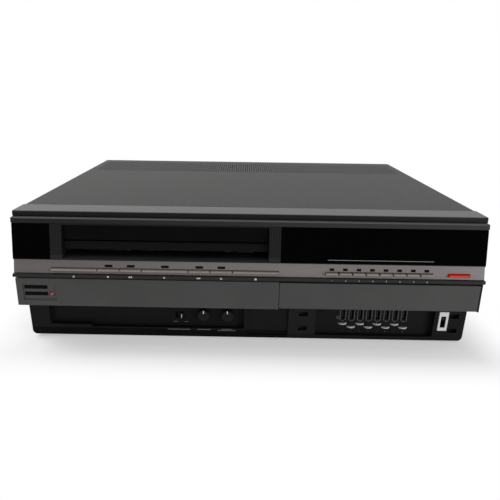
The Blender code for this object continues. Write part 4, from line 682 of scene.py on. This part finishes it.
def printed(name, outlines, material, place, body=CASE):
    """Makes one piece of printed marks, as deep in their seat as they stand proud of it."""
    height = sizes().ink_height
    plates(name, outlines, height, material, place, sink=height, body=body)


def bars_on(name, material, place, bars):
    """Prints round-ended bars, each a centre and a size, as one piece of the case."""
    outlines = [rounded_rectangle(w, t, min(w, t) * 0.3, 2, (x, z)) for x, z, w, t in bars]
    printed(name, outlines, material, place)


def digit_on(name, digit, height, material, place):
    """Prints a digit, centred on its place."""
    digit_share = 0.73  # of the size of the built-in font
    curve = bpy.data.curves.new("characters", "FONT")
    set_up(curve, body=str(digit), size=height / digit_share, extrude=sizes().ink_height)
    set_up(curve, align_x="CENTER", resolution_u=4)
    holder = bpy.data.objects.new("characters", curve)
    bpy.context.scene.collection.objects.link(holder)
    graph = bpy.context.evaluated_depsgraph_get()
    data = bpy.data.meshes.new_from_object(holder.evaluated_get(graph))
    mesh = bmesh.new()
    mesh.from_mesh(data)
    bmesh.ops.translate(mesh, vec=(0.0, -height / 2, 0.0), verts=mesh.verts)
    bpy.data.objects.remove(holder)
    bpy.data.curves.remove(curve)
    bpy.data.meshes.remove(data)
    piece(name, mesh, material, CASE, place)


def millimetres(pairs):
    return [(first * 0.001, second * 0.001) for first, second in pairs]


def turned_piece(name, profile, steps, material, places):
    """Makes one piece of lathe-turned solids, from (radius, height) pairs in millimetres."""
    mesh = bmesh.new()
    for place in places:
        turned(mesh, millimetres(profile), steps, place)
    piece(name, mesh, material)


def middle_of(node):
    low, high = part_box(node)
    return (low + high) / 2


def any_of(tree):
    """1 for a ray that the camera, a reflection or glass sends."""
    path = add_node(tree, "LightPath")
    total = path["Is Camera Ray"]
    for name in ("Is Glossy Ray", "Is Transmission Ray"):
        total = add_node(tree, "Math", {0: total, 1: path[name]}, operation="MAXIMUM")[0]
    return total


def blended(tree, output, factor, first, second):
    """Shows two shaders of a tree blended by the factor."""
    blend = add_node(tree, "MixShader", {"Fac": factor, 1: first, 2: second})[0]
    tree.links.new(blend, tree.nodes[output].inputs["Surface"])


class RECORDER_OT_stage(bpy.types.Operator):
    """Make the pale floor, the soft lamps and the camera at the photograph's place"""

    bl_idname = "recorder.stage"
    bl_label = "Stage"

    def execute(self, context):
        stage = context.scene.recorder_stage
        self.make_floor(stage)
        self.make_world(context, stage)
        self.make_lamps(context, stage)
        self.make_camera(context, stage)
        context.scene.view_settings.view_transform = "Standard"
        return {"FINISHED"}

    def make_floor(self, stage):
        mesh = bmesh.new()
        bmesh.ops.create_circle(mesh, cap_ends=True, segments=96, radius=stage.floor_radius)
        data = bpy.data.meshes.new("floor")
        mesh.to_mesh(data)
        mesh.free()
        floor = bpy.data.objects.new("floor", data)
        bpy.context.scene.collection.objects.link(floor)
        finish = Finish("floor_paper", colours().paper, 0.9, shine=0.1)
        finish.mottle(30.0, 0.02).grain(0.0001, 0.2, 300.0)
        # Painted shade as well as real shadow: the floor's white glow fades towards the footprint, which
        # darkens a soft halo round the recorder, and the real shadow falls within it.
        start = -0.015  # inside the footprint, so that the lift is already rising at its edge
        outside = self.beside_footprint(finish)
        far = finish.ranged(outside, start, stage.floor_fade, stage.floor_lift, 1.0, "SMOOTHSTEP")
        seen = finish.math("MULTIPLY", far, any_of(finish.tree))
        glow = finish.add("Emission", {"Color": WHITE})[0]
        blended(finish.tree, "Material Output", seen, finish.shader.outputs[0], glow)
        data.materials.append(finish.material)

    def beside_footprint(self, finish):
        """How far a point of the floor lies outside the recorder's footprint."""
        reach = cad_corners[1]
        squares = []
        for axis, half in (("X", reach.x), ("Y", reach.y)):
            out = finish.math("SUBTRACT", finish.math("ABSOLUTE", finish.along(axis)), half)
            squares.append(finish.math("POWER", finish.math("MAXIMUM", out, 0.0), 2.0))
        return finish.math("SQRT", finish.math("ADD", *squares))

    def make_world(self, context, stage):
        world = bpy.data.worlds.new("studio")
        world.use_nodes = True
        context.scene.world = world
        tree = world.node_tree
        soft = tree.nodes["Background"]
        soft.inputs["Color"].default_value = WHITE
        soft.inputs["Strength"].default_value = stage.sky
        white = add_node(tree, "Background", {"Color": WHITE, "Strength": 1.0})[0]
        blended(tree, "World Output", any_of(tree), soft.outputs[0], white)

    def make_lamps(self, context, stage):
        lamps = (
            ("key_lamp", (-0.95, 0.03, 1.0), stage.key_power, 0.9),
            ("fill_lamp", (1.3, -1.3, 0.35), stage.fill_power, 0.8),
        )
        middle = Vector((0.0, 0.0, 0.06))
        for name, place, power, side in lamps:
            light = set_up(bpy.data.lights.new(name, "AREA"), energy=power, size=side)
            turn = (middle - Vector(place)).to_track_quat("-Z", "Y").to_euler()
            lamp = set_up(bpy.data.objects.new(name, light), location=place, rotation_euler=turn)
            context.scene.collection.objects.link(lamp)

    def make_camera(self, context, stage):
        camera = bpy.data.cameras.new("photograph_view")
        set_up(camera, lens=stage.lens, sensor_width=36.0, clip_start=0.01)
        set_up(camera, shift_x=stage.shift_x, shift_y=stage.shift_y)
        holder = bpy.data.objects.new("photograph_view", camera)
        level_share = math.cos(stage.pitch)
        ahead, aside = math.cos(stage.yaw), math.sin(stage.yaw)
        forward = Vector((aside * level_share, ahead * level_share, -math.sin(stage.pitch)))
        level = Vector((ahead, -aside, 0.0))
        upright = level.cross(forward)
        right = math.cos(stage.roll) * level + math.sin(stage.roll) * upright
        up = -math.sin(stage.roll) * level + math.cos(stage.roll) * upright
        turn = Matrix((right, up, -forward)).transposed().to_4x4()
        holder.matrix_world = Matrix.Translation(Vector(stage.eye)) @ turn
        context.scene.collection.objects.link(holder)
        context.scene.camera = holder


class RECORDER_OT_cabinet(bpy.types.Operator):
    """Finish the folded cover, the band at its front, the base and the rear panel"""

    bl_idname = "recorder.cabinet"
    bl_label = "Cabinet finishes"

    def execute(self, context):
        dress(("top_cover",), cabinet_paint())
        dress(("top_trim",), trim_paint())
        dress(("base_chassis",), zinc())
        dress(("rear_panel",), rear_paint())
        dress([f"{end}_{side}_foot" for end in ("front", "rear") for side in ("left", "right")], rubber())
        return {"FINISHED"}


class RECORDER_OT_front(bpy.types.Operator):
    """Finish the fascia, the windows, the strip, the panels, the door and the tray"""

    bl_idname = "recorder.front"
    bl_label = "Front finishes"

    def execute(self, context):
        dress(("front_fascia",), fascia_moulding())
        dress(("control_tray",), tray_moulding())
        dress(("slot_surround",), surround_moulding())
        dress(("badge_window", "display_window"), window_acrylic())
        dress(("trim_strip",), satin_strip())
        panel = moulded("panel_moulding", colours().panel, 0.55, 0.20, wear=0.35)
        dress(("left_panel", "control_flap"), panel.material)
        dress(("cassette_door",), door_moulding())
        return {"FINISHED"}


class RECORDER_OT_keys(bpy.types.Operator):
    """Finish the transport keys, the programme keys and the buttons"""

    bl_idname = "recorder.keys"
    bl_label = "Key finishes"

    def execute(self, context):
        tones = colours()
        keys = [f"{name}_key" for name in TRANSPORT_KEYS] + [f"programme_key_{i}" for i in PROGRAMMES]
        dress(keys, key_plastic())
        operate = moulded("operate_plastic", tones.operate, 0.38, 0.20, 0.00002, 0.2)
        dress(("operate_key",), operate.material)
        button = moulded("button_plastic", lighter(tones.black, 0.0), 0.5, 0.01)
        dress(("timer_button", "memory_button"), button.material)
        dress(("standby_lamp",), lamp_lens("standby_lens", tones.lamp, 0.25))
        return {"FINISHED"}


class RECORDER_OT_controls(bpy.types.Operator):
    """Finish the knobs, the slide switches and the tuning wheels"""

    bl_idname = "recorder.controls"
    bl_label = "Control finishes"

    def execute(self, context):
        tones = colours()
        knob = moulded("knob_moulding", lighter(tones.black, 0.3), 0.48, 0.12)
        dress(("tracking_knob", "picture_knob", "input_switch", "plate_switch"), knob.material, 0.00012)
        dress(("switch_plate",), moulded("plate_plastic", tones.white, 0.5, 0.4).material)
        wheel = moulded("wheel_plastic", tones.wheel, 0.5, 0.4)
        pale_up_to, past_top = 0.0195, 0.0500
        wheel.tint(wheel.zone("Z", pale_up_to, past_top), lighter(tones.black, 2.0))
        dress([f"tuning_wheel_{i}" for i in PROGRAMMES], wheel.material, 0.00008)
        return {"FINISHED"}


class RECORDER_OT_mechanism(bpy.types.Operator):
    """Finish the deck, the cassette lift, the drum, the reels, the board and the transformer"""

    bl_idname = "recorder.mechanism"
    bl_label = "Mechanism finishes"

    def execute(self, context):
        dress(("deck_plate", "feed_slider"), zinc())
        # Painted shade: the carriage's floor is blackened, as it lies in shade behind the door.
        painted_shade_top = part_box("cassette_carriage")[0].z + 0.0025
        dress(("cassette_carriage",), plated_zinc("carriage_zinc", painted_shade_top))
        dress(("drum_base", "drum_rotor", "capstan"), steel(), 0.00015)
        dress(("pinch_roller",), rubber())
        reel = moulded("reel_plastic", colours().black, 0.45)
        dress(("supply_reel_table", "takeup_reel_table"), reel.material)
        dress(("main_board",), board_laminate())
        dress(("power_transformer",), core_laminations())
        return {"FINISHED"}


class RECORDER_OT_indicator_lenses(bpy.types.Operator):
    """Make the smoked lenses in the strip above the keys"""

    bl_idname = "recorder.indicator_lenses"
    bl_label = "Indicator lenses"

    def execute(self, context):
        size = sizes()
        material = lamp_lens("indicator_lens", colours().lens, 0.0, 0.04)
        lenses = [(f"lens_{name}", f"{name}_key", size.lens_width) for name in LIT_KEYS]
        lenses += [(f"programme_lens_{i}", f"programme_key_{i}", size.small_lens_width) for i in PROGRAMMES]
        for name, key, width in lenses:
            outline = rounded_rectangle(width, size.lens_height, 0.0003)
            place = strip_seat(middle_of(key).x, LENS_Z, size.lens_sink + size.lens_depth)
            plates(name, [outline], size.lens_depth, material, place, 0.0002)
        return {"FINISHED"}


def doubled(outline, step):
    """The outline a step to the left, and again a step to the right."""
    return [[(x + side * step, y) for x, y in outline] for side in (-1, 1)]


def symbol_outlines(name, size):
    """The closed outlines of a transport symbol, about the origin."""
    h = size / 2
    right = [(-h, -h), (h, 0.0), (-h, h)]
    left = [(h, -h), (h, h), (-h, 0.0)]
    bar = rounded_rectangle(size * 0.32, size, size * 0.05, 2)
    arrow = [(-h * 1.1, -h * 0.25), (h * 1.1, -h * 0.25), (0.0, h)]
    foot = rounded_rectangle(size * 1.1, size * 0.24, size * 0.04, 2, (0.0, -h * 0.72))
    symbols = {
        "eject": [arrow, foot],
        "record": [circle(h)],
        "rewind": doubled(left, h),
        "play": [right],
        "fast_forward": doubled(right, h),
        "pause": doubled(bar, size * 0.30),
        "stop": [rounded_rectangle(size, size, size * 0.08, 2)],
    }
    return symbols[name]


class RECORDER_OT_key_symbols(bpy.types.Operator):
    """Print the transport symbols and the programme digits on the rail under the keys"""

    bl_idname = "recorder.key_symbols"
    bl_label = "Key symbols"

    def execute(self, context):
        size = sizes()
        material = ink("pale_ink", colours().ink)
        for name in TRANSPORT_KEYS:
            place = front_seat("front_fascia", middle_of(f"{name}_key").x, SYMBOL_Z)
            printed(f"{name}_symbol", symbol_outlines(name, size.symbol), material, place)
        for i in PROGRAMMES:
            place = front_seat("front_fascia", middle_of(f"programme_key_{i}").x, SYMBOL_Z)
            digit_on(f"programme_digit_{i}", i, size.digit, material, place)
        return {"FINISHED"}


class RECORDER_OT_window_rule(bpy.types.Operator):
    """Print the fine rule under the programme display"""

    bl_idname = "recorder.window_rule"
    bl_label = "Window rule"

    def execute(self, context):
        material, inset = ink("rule_ink", lighter(colours().ink, 0.4)), 0.0011
        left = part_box("programme_key_1")[0].x + inset
        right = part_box(f"programme_key_{PROGRAMMES[-1]}")[1].x
        place = front_seat("display_window", (left + right) / 2, RULE_Z)
        bars_on("window_rule", material, place, ((0.0, 0.0, right - left, sizes().ink_line),))
        return {"FINISHED"}


class RECORDER_OT_tuner_marks(bpy.types.Operator):
    """Print the outline of each tuner window and the digit under each wheel"""

    bl_idname = "recorder.tuner_marks"
    bl_label = "Tuner marks"

    beside_window = 0.0030

    def execute(self, context):
        size = sizes()
        material = ink("grey_ink", colours().faint_ink)
        for i in PROGRAMMES:
            x = middle_of(f"tuning_wheel_{i}").x
            place = moved_across(front_seat("control_tray", x + self.beside_window, OUTLINE_Z), x)
            printed(f"tuner_outline_{i}", self.window_edge(size.tray_line), material, place)
            place = front_seat("control_tray", x, TRAY_DIGIT_Z)
            digit_on(f"tuner_digit_{i}", i, size.tray_digit, material, place)
        line, wide, tall, box_x, box_z = size.tray_line, 0.0036, 0.0030, 0.0928, 0.0243
        sides = [(s * (wide - line) / 2, 0.0, line, tall) for s in (-1, 1)]
        sides += [(0.0, s * (tall - line) / 2, wide - 2 * line, line) for s in (-1, 1)]
        bars_on("tuner_box", material, front_seat("control_tray", box_x, box_z), sides)
        return {"FINISHED"}

    def window_edge(self, line):
        """The two uprights and the pointed foot of one outline, above and round the window's foot."""
        half, foot, tall, point = 0.0027, -0.0006, 0.0225, 0.0013
        upright = [(-line / 2, foot), (line / 2, foot), (line / 2, tall), (-line / 2, tall)]
        outer, inner, drop = half + line / 2, half - line / 2, foot - point
        below, above = (0.0, drop - line * 0.6), (0.0, drop + line * 0.6)
        left = [(-outer, foot), below, above, (-inner, foot)]
        right = [below, (outer, foot), (inner, foot), above]
        return doubled(upright, half) + [left, right]


class RECORDER_OT_bay_labels(bpy.types.Operator):
    """Print the bare label bars on the sill of the control bay and under its switch"""

    bl_idname = "recorder.bay_labels"
    bl_label = "Bay labels"

    def execute(self, context):
        material = ink("grey_ink", colours().faint_ink)
        two_lines = ((0.0, 0.0007, 0.0110, 0.0008), (0.0, -0.0007, 0.0182, 0.0008))
        two_words = ((-0.0054, 0.0, 0.0046, 0.0008), (0.0054, 0.0, 0.0036, 0.0008))
        rows = (
            ("bay_label_1", -0.0685, 0.0108, ((0.0, 0.0, 0.0226, 0.0010),)),
            ("bay_label_2", -0.0431, 0.0110, ((0.0, 0.0, 0.0144, 0.0010),)),
            ("bay_label_3", -0.0204, 0.0108, two_lines),
            ("switch_labels", -0.0668, 0.0166, two_words),
        )
        for name, x, z, bars in rows:
            bars_on(name, material, front_seat("control_tray", x, z), bars)
        return {"FINISHED"}


class RECORDER_OT_front_marks(bpy.types.Operator):
    """Paint shade as dark lines along the left wall and foot of the buttons' recess, and as a dark dot before
    the programme keys
    """

    bl_idname = "recorder.front_marks"
    bl_label = "Front marks"

    def execute(self, context):
        material = ink("black_ink", colours().black)
        # Painted shade: dark lines where shade falls along the left wall and the foot of the buttons' recess.
        line, left, right, foot, top = 0.0008, -0.2114, -0.1818, 0.0521, 0.0650
        on_panel_x = -0.2000
        bars = (
            (left, (top - foot) / 2, line, top - foot + line),
            ((left + right + line) / 2, 0.0, right - left - line * 0.2, line),
        )
        place = moved_across(front_seat("left_panel", on_panel_x, foot), 0.0)
        bars_on("button_recess_shade", material, place, bars)
        # Painted shade: a dark dot where shade falls at the end of the programme keys' slot.
        before_key, radius = 0.0027, 0.0006
        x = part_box("programme_key_1")[0].x - before_key
        printed("programme_gap_shade", [circle(radius)], material, strip_seat(x, DOT_Z))
        return {"FINISHED"}


class RECORDER_OT_pointer_marks(bpy.types.Operator):
    """Fill the pointers of the two knobs and the ridge of the slide switch with white"""

    bl_idname = "recorder.pointer_marks"
    bl_label = "Pointer marks"

    def execute(self, context):
        material = ink("white_ink", colours().white)
        pointer = rounded_rectangle(0.0010, 0.0030, 0.0003, 3)
        above_centre, beside_groove = 0.0040, 0.0008
        for name in ("tracking_knob", "picture_knob"):
            centre = middle_of(name)
            on_face = front_seat(name, centre.x + beside_groove, centre.z + above_centre)
            place = moved_across(on_face, centre.x)
            printed(f"{name}_pointer", [pointer], material, place, name)
        ridge = rounded_rectangle(0.0005, 0.0040, 0.0002, 3)
        centre = middle_of("input_switch")
        place = front_seat("input_switch", centre.x, centre.z)
        printed("input_switch_mark", [ridge], material, place, "input_switch")
        return {"FINISHED"}


def screw_head(mesh, radius, rise, place):
    """Adds a pan head with a cross recess, built as a turned rim round a sunken cross."""
    rim = ((0.0, -0.2), (1.0, -0.2), (1.0, 0.45), (0.92, 0.80), (0.70, 1.0), (0.52, 0.98))
    recess = ((0.40, 0.45), (0.0, 0.40))
    turned(mesh, [(radius * wide, rise * high) for wide, high in rim + recess], 28, place)
    arm, half = radius * 0.50, radius * 0.11
    outline = [(half, half * 0.2), (arm, half * 1.6), (arm * 0.9, arm * 0.62), (half * 1.6, arm)]
    for quarter in range(4):
        turn = Matrix.Rotation(math.pi / 4 + quarter * math.pi / 2, 4, "Z")
        start = len(mesh.verts)
        outline_plate(mesh, outline, rise * 0.96, rise * 0.05, -rise * 0.30)
        mesh.verts.ensure_lookup_table()
        bmesh.ops.transform(mesh, matrix=place @ turn, verts=mesh.verts[start:])


def screws(name, radius, rise, places, body=CASE):
    """Makes one piece of screw heads, one in each place."""
    mesh = bmesh.new()
    for place in places:
        screw_head(mesh, radius, rise, place)
    piece(name, mesh, steel(), body, None)


def out_of_rear(x, z):
    """A frame on the back of the rear sheet, z out of it."""
    return Matrix.Translation((x, REAR_Y, z)) @ Matrix.Rotation(-math.pi / 2, 4, "X")


class RECORDER_OT_cover_screws(bpy.types.Operator):
    """Make the cross-head screws that hold the cover's sides and the rear panel"""

    bl_idname = "recorder.cover_screws"
    bl_label = "Cover screws"

    def execute(self, context):
        size = sizes()
        low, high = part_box("top_cover")
        side_z, rear_rise = 0.020, 0.0012
        for side, x, out in (("left", low.x, -1.0), ("right", high.x, 1.0)):
            turn = Matrix.Rotation(out * math.pi / 2, 4, "Y")
            for i, y in enumerate((-0.085, 0.140)):
                place = Matrix.Translation((x, y, side_z)) @ turn
                screws(f"cover_screw_{side}_{i + 1}", size.screw_head, size.screw_rise, [place])
        places = [out_of_rear(x, z) for z in (0.125, 0.013) for x in (-0.200, 0.0, 0.200)]
        for i, place in enumerate(places):
            screws(f"rear_screw_{i + 1}", size.screw_head * 0.85, rear_rise, [place])
        return {"FINISHED"}


class RECORDER_OT_base_screws(bpy.types.Operator):
    """Make the screws under the base, and those of the deck and the transformer above it"""

    bl_idname = "recorder.base_screws"
    bl_label = "Base and deck screws"

    def execute(self, context):
        size = sizes()
        core = middle_of("power_transformer")
        ends = [(x, y) for x in (-0.200, 0.200) for y in (-0.110, 0.020, 0.160)]
        feet = [(core.x + x, core.y + y) for x in (-0.024, 0.024) for y in (-0.010, 0.010)]
        deck = [(x, y) for x in (-0.168, 0.016) for y in (-0.015, 0.041)]
        groups = (
            ("base_screws", [self.under_base(x, y) for x, y in ends + feet]),
            ("transformer_screws", [top_seat("power_transformer", x, y) for x, y in feet]),
            ("deck_screws", [top_seat("deck_plate", x, y) for x, y in deck]),
        )
        for name, places in groups:
            screws(name, size.screw_head * 0.8, size.screw_rise, places)
        return {"FINISHED"}

    def under_base(self, x, y):
        return seat("base_chassis", (x, y, -0.05), (0.0, 0.0, 1.0), upward=(0.0, 1.0, 0.0))


class RECORDER_OT_rear_inserts(bpy.types.Operator):
    """Make the plated shells, the insulators and the nuts of the rear sockets and the inlet's frame"""

    bl_idname = "recorder.rear_inserts"
    bl_label = "Rear sockets"

    shell = (
        (4.45, 0.0), (4.45, 5.3), (4.15, 5.8), (3.5, 5.8), (3.5, 5.4), (4.2, 5.2), (4.2, 0.0), (4.45, 0.0),
    )
    insulator = ((1.8, 4.9), (1.8, 5.7), (3.3, 5.7), (3.4, 4.9), (1.8, 4.9))
    pin = ((0.0, -11.5), (1.3, -11.5), (1.3, -2.2), (1.0, -1.2), (0.0, -0.9))

    def execute(self, context):
        tones = colours()
        pale = moulded("insulator_plastic", tones.white, 0.5, 0.4).material
        black = moulded("inlet_plastic", tones.black, 0.5, 0.2).material
        ring_tones = (tones.signal, tones.white, tones.operate, tones.black)
        rings = [moulded(f"ring_plastic_{i}", tone, 0.45, 0.3).material for i, tone in enumerate(ring_tones)]
        first_x, pitch = -0.1725, 0.019
        for i in range(6):
            place = out_of_rear(first_x + i * pitch, SOCKETS_Z)
            aerial = i < 2
            turned_piece(f"socket_shell_{i + 1}", self.shell, 24, steel(), [place])
            inside = black if aerial else pale
            turned_piece(f"socket_insulator_{i + 1}", self.insulator, 20, inside, [place])
            if aerial:
                hexagon = circle(0.0068, 6)
                plates(f"aerial_nut_{i + 1}", [hexagon], 0.0019, steel(), place, 0.0004)
            else:
                plates(f"line_ring_{i - 1}", [circle(0.0062, 28)], 0.0009, rings[i - 2], place, 0.0003)
        place = out_of_rear(-first_x, INLET_Z)
        mesh = bmesh.new()
        outer, inner = rounded_rectangle(0.0236, 0.0150, 0.0016), rounded_rectangle(0.0181, 0.0096, 0.0006)
        ring_plate(mesh, outer, inner, 0.0011, 0.0004)
        piece("inlet_frame", mesh, black, place=place)
        sides = [place @ Matrix.Translation((side * 0.0043, 0.0, 0.0)) for side in (-1, 1)]
        turned_piece("inlet_pins", self.pin, 12, steel(), sides)
        return {"FINISHED"}


class RECORDER_OT_board_parts(bpy.types.Operator):
    """Stand the capacitors, chips, resistors and the heat sink on the board"""

    bl_idname = "recorder.board_parts"
    bl_label = "Parts on the board"

    def execute(self, context):
        tones = colours()
        self.capacitors(moulded("capacitor_sleeve", tones.sleeve, 0.35, 0.4).material)
        self.chips(moulded("chip_resin", tones.black, 0.5, 0.2).material)
        self.resistors(moulded("resistor_body", tones.resin, 0.4, 0.4).material)
        self.heat_sink(steel())
        return {"FINISHED"}

    def on_board(self, share_x, share_y):
        low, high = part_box("main_board")
        x, y = low.x + share_x * (high.x - low.x), low.y + share_y * (high.y - low.y)
        return top_seat("main_board", x, y)

    def capacitors(self, material):
        places = (
            (0.05, 0.05, 4.0), (0.12, 0.05, 3.0), (0.30, 0.05, 4.5), (0.55, 0.05, 3.5), (0.93, 0.06, 5.0),
            (0.93, 0.30, 4.0), (0.05, 0.36, 3.0), (0.42, 0.36, 4.0), (0.62, 0.37, 3.0), (0.05, 0.62, 5.0),
            (0.55, 0.63, 3.5), (0.94, 0.62, 4.5), (0.08, 0.93, 4.0), (0.35, 0.93, 3.0), (0.60, 0.94, 4.5),
        )
        can = (
            (0.0, 0.0), (0.94, 0.0), (1.0, 0.05), (1.0, 0.10), (0.93, 0.13), (1.0, 0.17),
            (1.0, 0.96), (0.92, 1.0), (0.80, 1.0), (0.78, 0.98), (0.0, 0.98),
        )
        mesh = bmesh.new()
        for share_x, share_y, radius in places:
            profile = millimetres([(radius * wide, radius * 2.7 * high) for wide, high in can])
            turned(mesh, profile, 18, self.on_board(share_x, share_y))
        piece("board_capacitors", mesh, material)

    def chips(self, material):
        pitch = 0.00254
        mesh = bmesh.new()
        for share_x, share_y, pins in ((0.27, 0.30, 8), (0.58, 0.29, 10), (0.30, 0.64, 8), (0.80, 0.46, 10)):
            start = len(mesh.verts)
            span = pins * pitch
            outline_plate(mesh, rounded_rectangle(span, 0.0064, 0.0003), 0.0042, 0.0005, -0.0010)
            for i in range(pins):
                for side in (-1, 1):
                    centre = ((i + 0.5) * pitch - span / 2, side * 0.0037)
                    outline_plate(mesh, rounded_rectangle(0.0010, 0.0007, 0.0001, 1, centre), 0.0024)
            mesh.verts.ensure_lookup_table()
            place = self.on_board(share_x, share_y)
            bmesh.ops.transform(mesh, matrix=place, verts=mesh.verts[start:])
        piece("board_chips", mesh, material)

    def resistors(self, material):
        half_bone = ((0.95, 1.9), (1.2, 2.8), (0.9, 3.3), (0.0, 3.3))
        bone = tuple((radius, -height) for radius, height in reversed(half_bone)) + half_bone
        lead = ((0.0, -5.0), (0.3, -5.0), (0.3, 5.0), (0.0, 5.0))
        lying = Matrix.Translation((0.0, 0.0, 0.0013)) @ Matrix.Rotation(-math.pi / 2, 4, "X")
        mesh = bmesh.new()
        for share_x in (0.14, 0.20, 0.26, 0.32, 0.50, 0.56, 0.70, 0.76, 0.82, 0.88):
            for profile, steps in ((bone, 14), (lead, 6)):
                turned(mesh, millimetres(profile), steps, self.on_board(share_x, 0.375) @ lying)
        piece("board_resistors", mesh, material)

    def heat_sink(self, material):
        mesh = bmesh.new()
        outline_plate(mesh, rounded_rectangle(0.024, 0.030, 0.0006), 0.0016, 0.0003)
        pitch = 0.0036
        for i in range(-3, 4):
            fin = rounded_rectangle(0.0010, 0.0290, 0.0003, 2, (i * pitch, 0.0))
            outline_plate(mesh, fin, 0.0130, 0.0002, -0.0014)
        piece("heat_sink", mesh, material, CASE, self.on_board(0.80, 0.24))


class RECORDER_OT_winding(bpy.types.Operator):
    """Wrap the two faces of the transformer's winding in lacquered wire"""

    bl_idname = "recorder.winding"
    bl_label = "Transformer winding"

    def execute(self, context):
        material = winding_wire()
        low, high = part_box("power_transformer")
        centre = (low + high) / 2
        outline = rounded_rectangle(0.0300, 0.0326, 0.0020, 5)
        for name, y, side in (("winding_front", low.y, -1.0), ("winding_rear", high.y, 1.0)):
            place = seat("power_transformer", (centre.x, y + side * 0.05, centre.z), (0.0, -side, 0.0))
            plates(name, [outline], 0.0012, material, place, 0.0006, 0.0003)
        return {"FINISHED"}


class RECORDER_OT_tape_path(bpy.types.Operator):
    """Stand the tape guides and the sound head on the deck, and fix the drum's cap"""

    bl_idname = "recorder.tape_path"
    bl_label = "Tape path"

    post = (
        (0.0, 0.0), (3.2, 0.0), (3.2, 2.2), (1.4, 2.4), (1.4, 5.0), (3.2, 5.2), (3.2, 6.2), (2.5, 6.4),
        (2.5, 19.0), (3.2, 19.2), (3.2, 20.2), (1.9, 20.4), (1.9, 22.6), (1.5, 23.0), (0.0, 23.0),
    )

    def execute(self, context):
        for i, (x, y) in enumerate(((-0.1230, -0.0200), (-0.1120, 0.0040), (-0.0290, 0.0060))):
            place = top_seat("deck_plate", x, y)
            turned_piece(f"guide_post_{i + 1}", self.post, 20, steel(), [place])
        place = top_seat("deck_plate", -0.0350, -0.0130)
        outline = rounded_rectangle(0.0100, 0.0110, 0.0030, 5)
        plates("sound_head", [outline], 0.0190, steel(), place, 0.0006)
        drum, from_axis = middle_of("drum_rotor"), 0.020
        places = [top_seat("drum_rotor", drum.x + side * from_axis, drum.y) for side in (-1, 1)]
        screws("drum_screws", 0.0019, 0.0008, places, "drum_rotor")
        return {"FINISHED"}


class RECORDER_OT_flap_controls(bpy.types.Operator):
    """Set the plate with its row of plain buttons in the compartment behind the flap"""

    bl_idname = "recorder.flap_controls"
    bl_label = "Controls behind the flap"

    def execute(self, context):
        tones = colours()
        place = front_seat("front_fascia", middle_of("control_flap").x, SETTING_PLATE_Z)
        paint = moulded("setting_plate_paint", lighter(tones.panel, 0.5), 0.45, 0.2, wear=0.2).material
        thick = 0.0010
        plates("setting_plate", [rounded_rectangle(0.1700, 0.0160, 0.0015)], thick, paint, place, 0.0003)
        button = moulded("setting_button_plastic", lighter(tones.key, 0.6), 0.45, 0.3, wear=0.3).material
        outline = rounded_rectangle(0.0120, 0.0056, 0.0010)
        pitch, button_z, bar_z = 0.0185, -0.0018, 0.0040
        row = [(i - 3.5) * pitch for i in range(8)]
        for i, x in enumerate(row):
            there = place @ Matrix.Translation((x, button_z, 0.0))
            plates(f"setting_button_{i + 1}", [outline], 0.0038, button, there, 0.0006)
        bars = [(x, bar_z, 0.0090, 0.0009) for x in row]
        on_plate = place @ Matrix.Translation((0.0, 0.0, thick))
        bars_on("setting_marks", ink("pale_ink", tones.ink), on_plate, bars)
        return {"FINISHED"}


OPERATORS = (
    RECORDER_OT_stage,
    RECORDER_OT_cabinet,
    RECORDER_OT_front,
    RECORDER_OT_keys,
    RECORDER_OT_controls,
    RECORDER_OT_mechanism,
    RECORDER_OT_indicator_lenses,
    RECORDER_OT_key_symbols,
    RECORDER_OT_window_rule,
    RECORDER_OT_tuner_marks,
    RECORDER_OT_bay_labels,
    RECORDER_OT_front_marks,
    RECORDER_OT_pointer_marks,
    RECORDER_OT_cover_screws,
    RECORDER_OT_base_screws,
    RECORDER_OT_rear_inserts,
    RECORDER_OT_board_parts,
    RECORDER_OT_winding,
    RECORDER_OT_tape_path,
    RECORDER_OT_flap_controls,
)


class RECORDER_PT_panel(bpy.types.Panel):
    """Lists the steps that dress the recorder, with their sizes and colours"""

    bl_idname = "RECORDER_PT_panel"
    bl_label = "Cassette recorder"
    bl_space_type = "VIEW_3D"
    bl_region_type = "UI"
    bl_category = "Recorder"

    def draw(self, context):
        layout = self.layout
        for operator in OPERATORS:
            layout.operator(operator.bl_idname, text=operator.bl_label)
        for _, group in GROUPS:
            box = layout.box()
            values = getattr(context.scene, group)
            for name in values.__annotations__:
                box.prop(values, name)


GROUPS = (
    (RecorderColours, "recorder_colours"),
    (RecorderSizes, "recorder_sizes"),
    (RecorderStage, "recorder_stage"),
)


def register():
    for group, name in GROUPS:
        bpy.utils.register_class(group)
        setattr(bpy.types.Scene, name, PointerProperty(type=group))
    for operator in OPERATORS:
        bpy.utils.register_class(operator)
    bpy.utils.register_class(RECORDER_PT_panel)


def unregister():
    bpy.utils.unregister_class(RECORDER_PT_panel)
    for operator in reversed(OPERATORS):
        bpy.utils.unregister_class(operator)
    for group, name in reversed(GROUPS):
        delattr(bpy.types.Scene, name)
        bpy.utils.unregister_class(group)


def main():
    register()
    for operator in OPERATORS:
        area, name = operator.bl_idname.split(".")
        getattr(getattr(bpy.ops, area), name)()


if __name__ == "__main__":
    main()
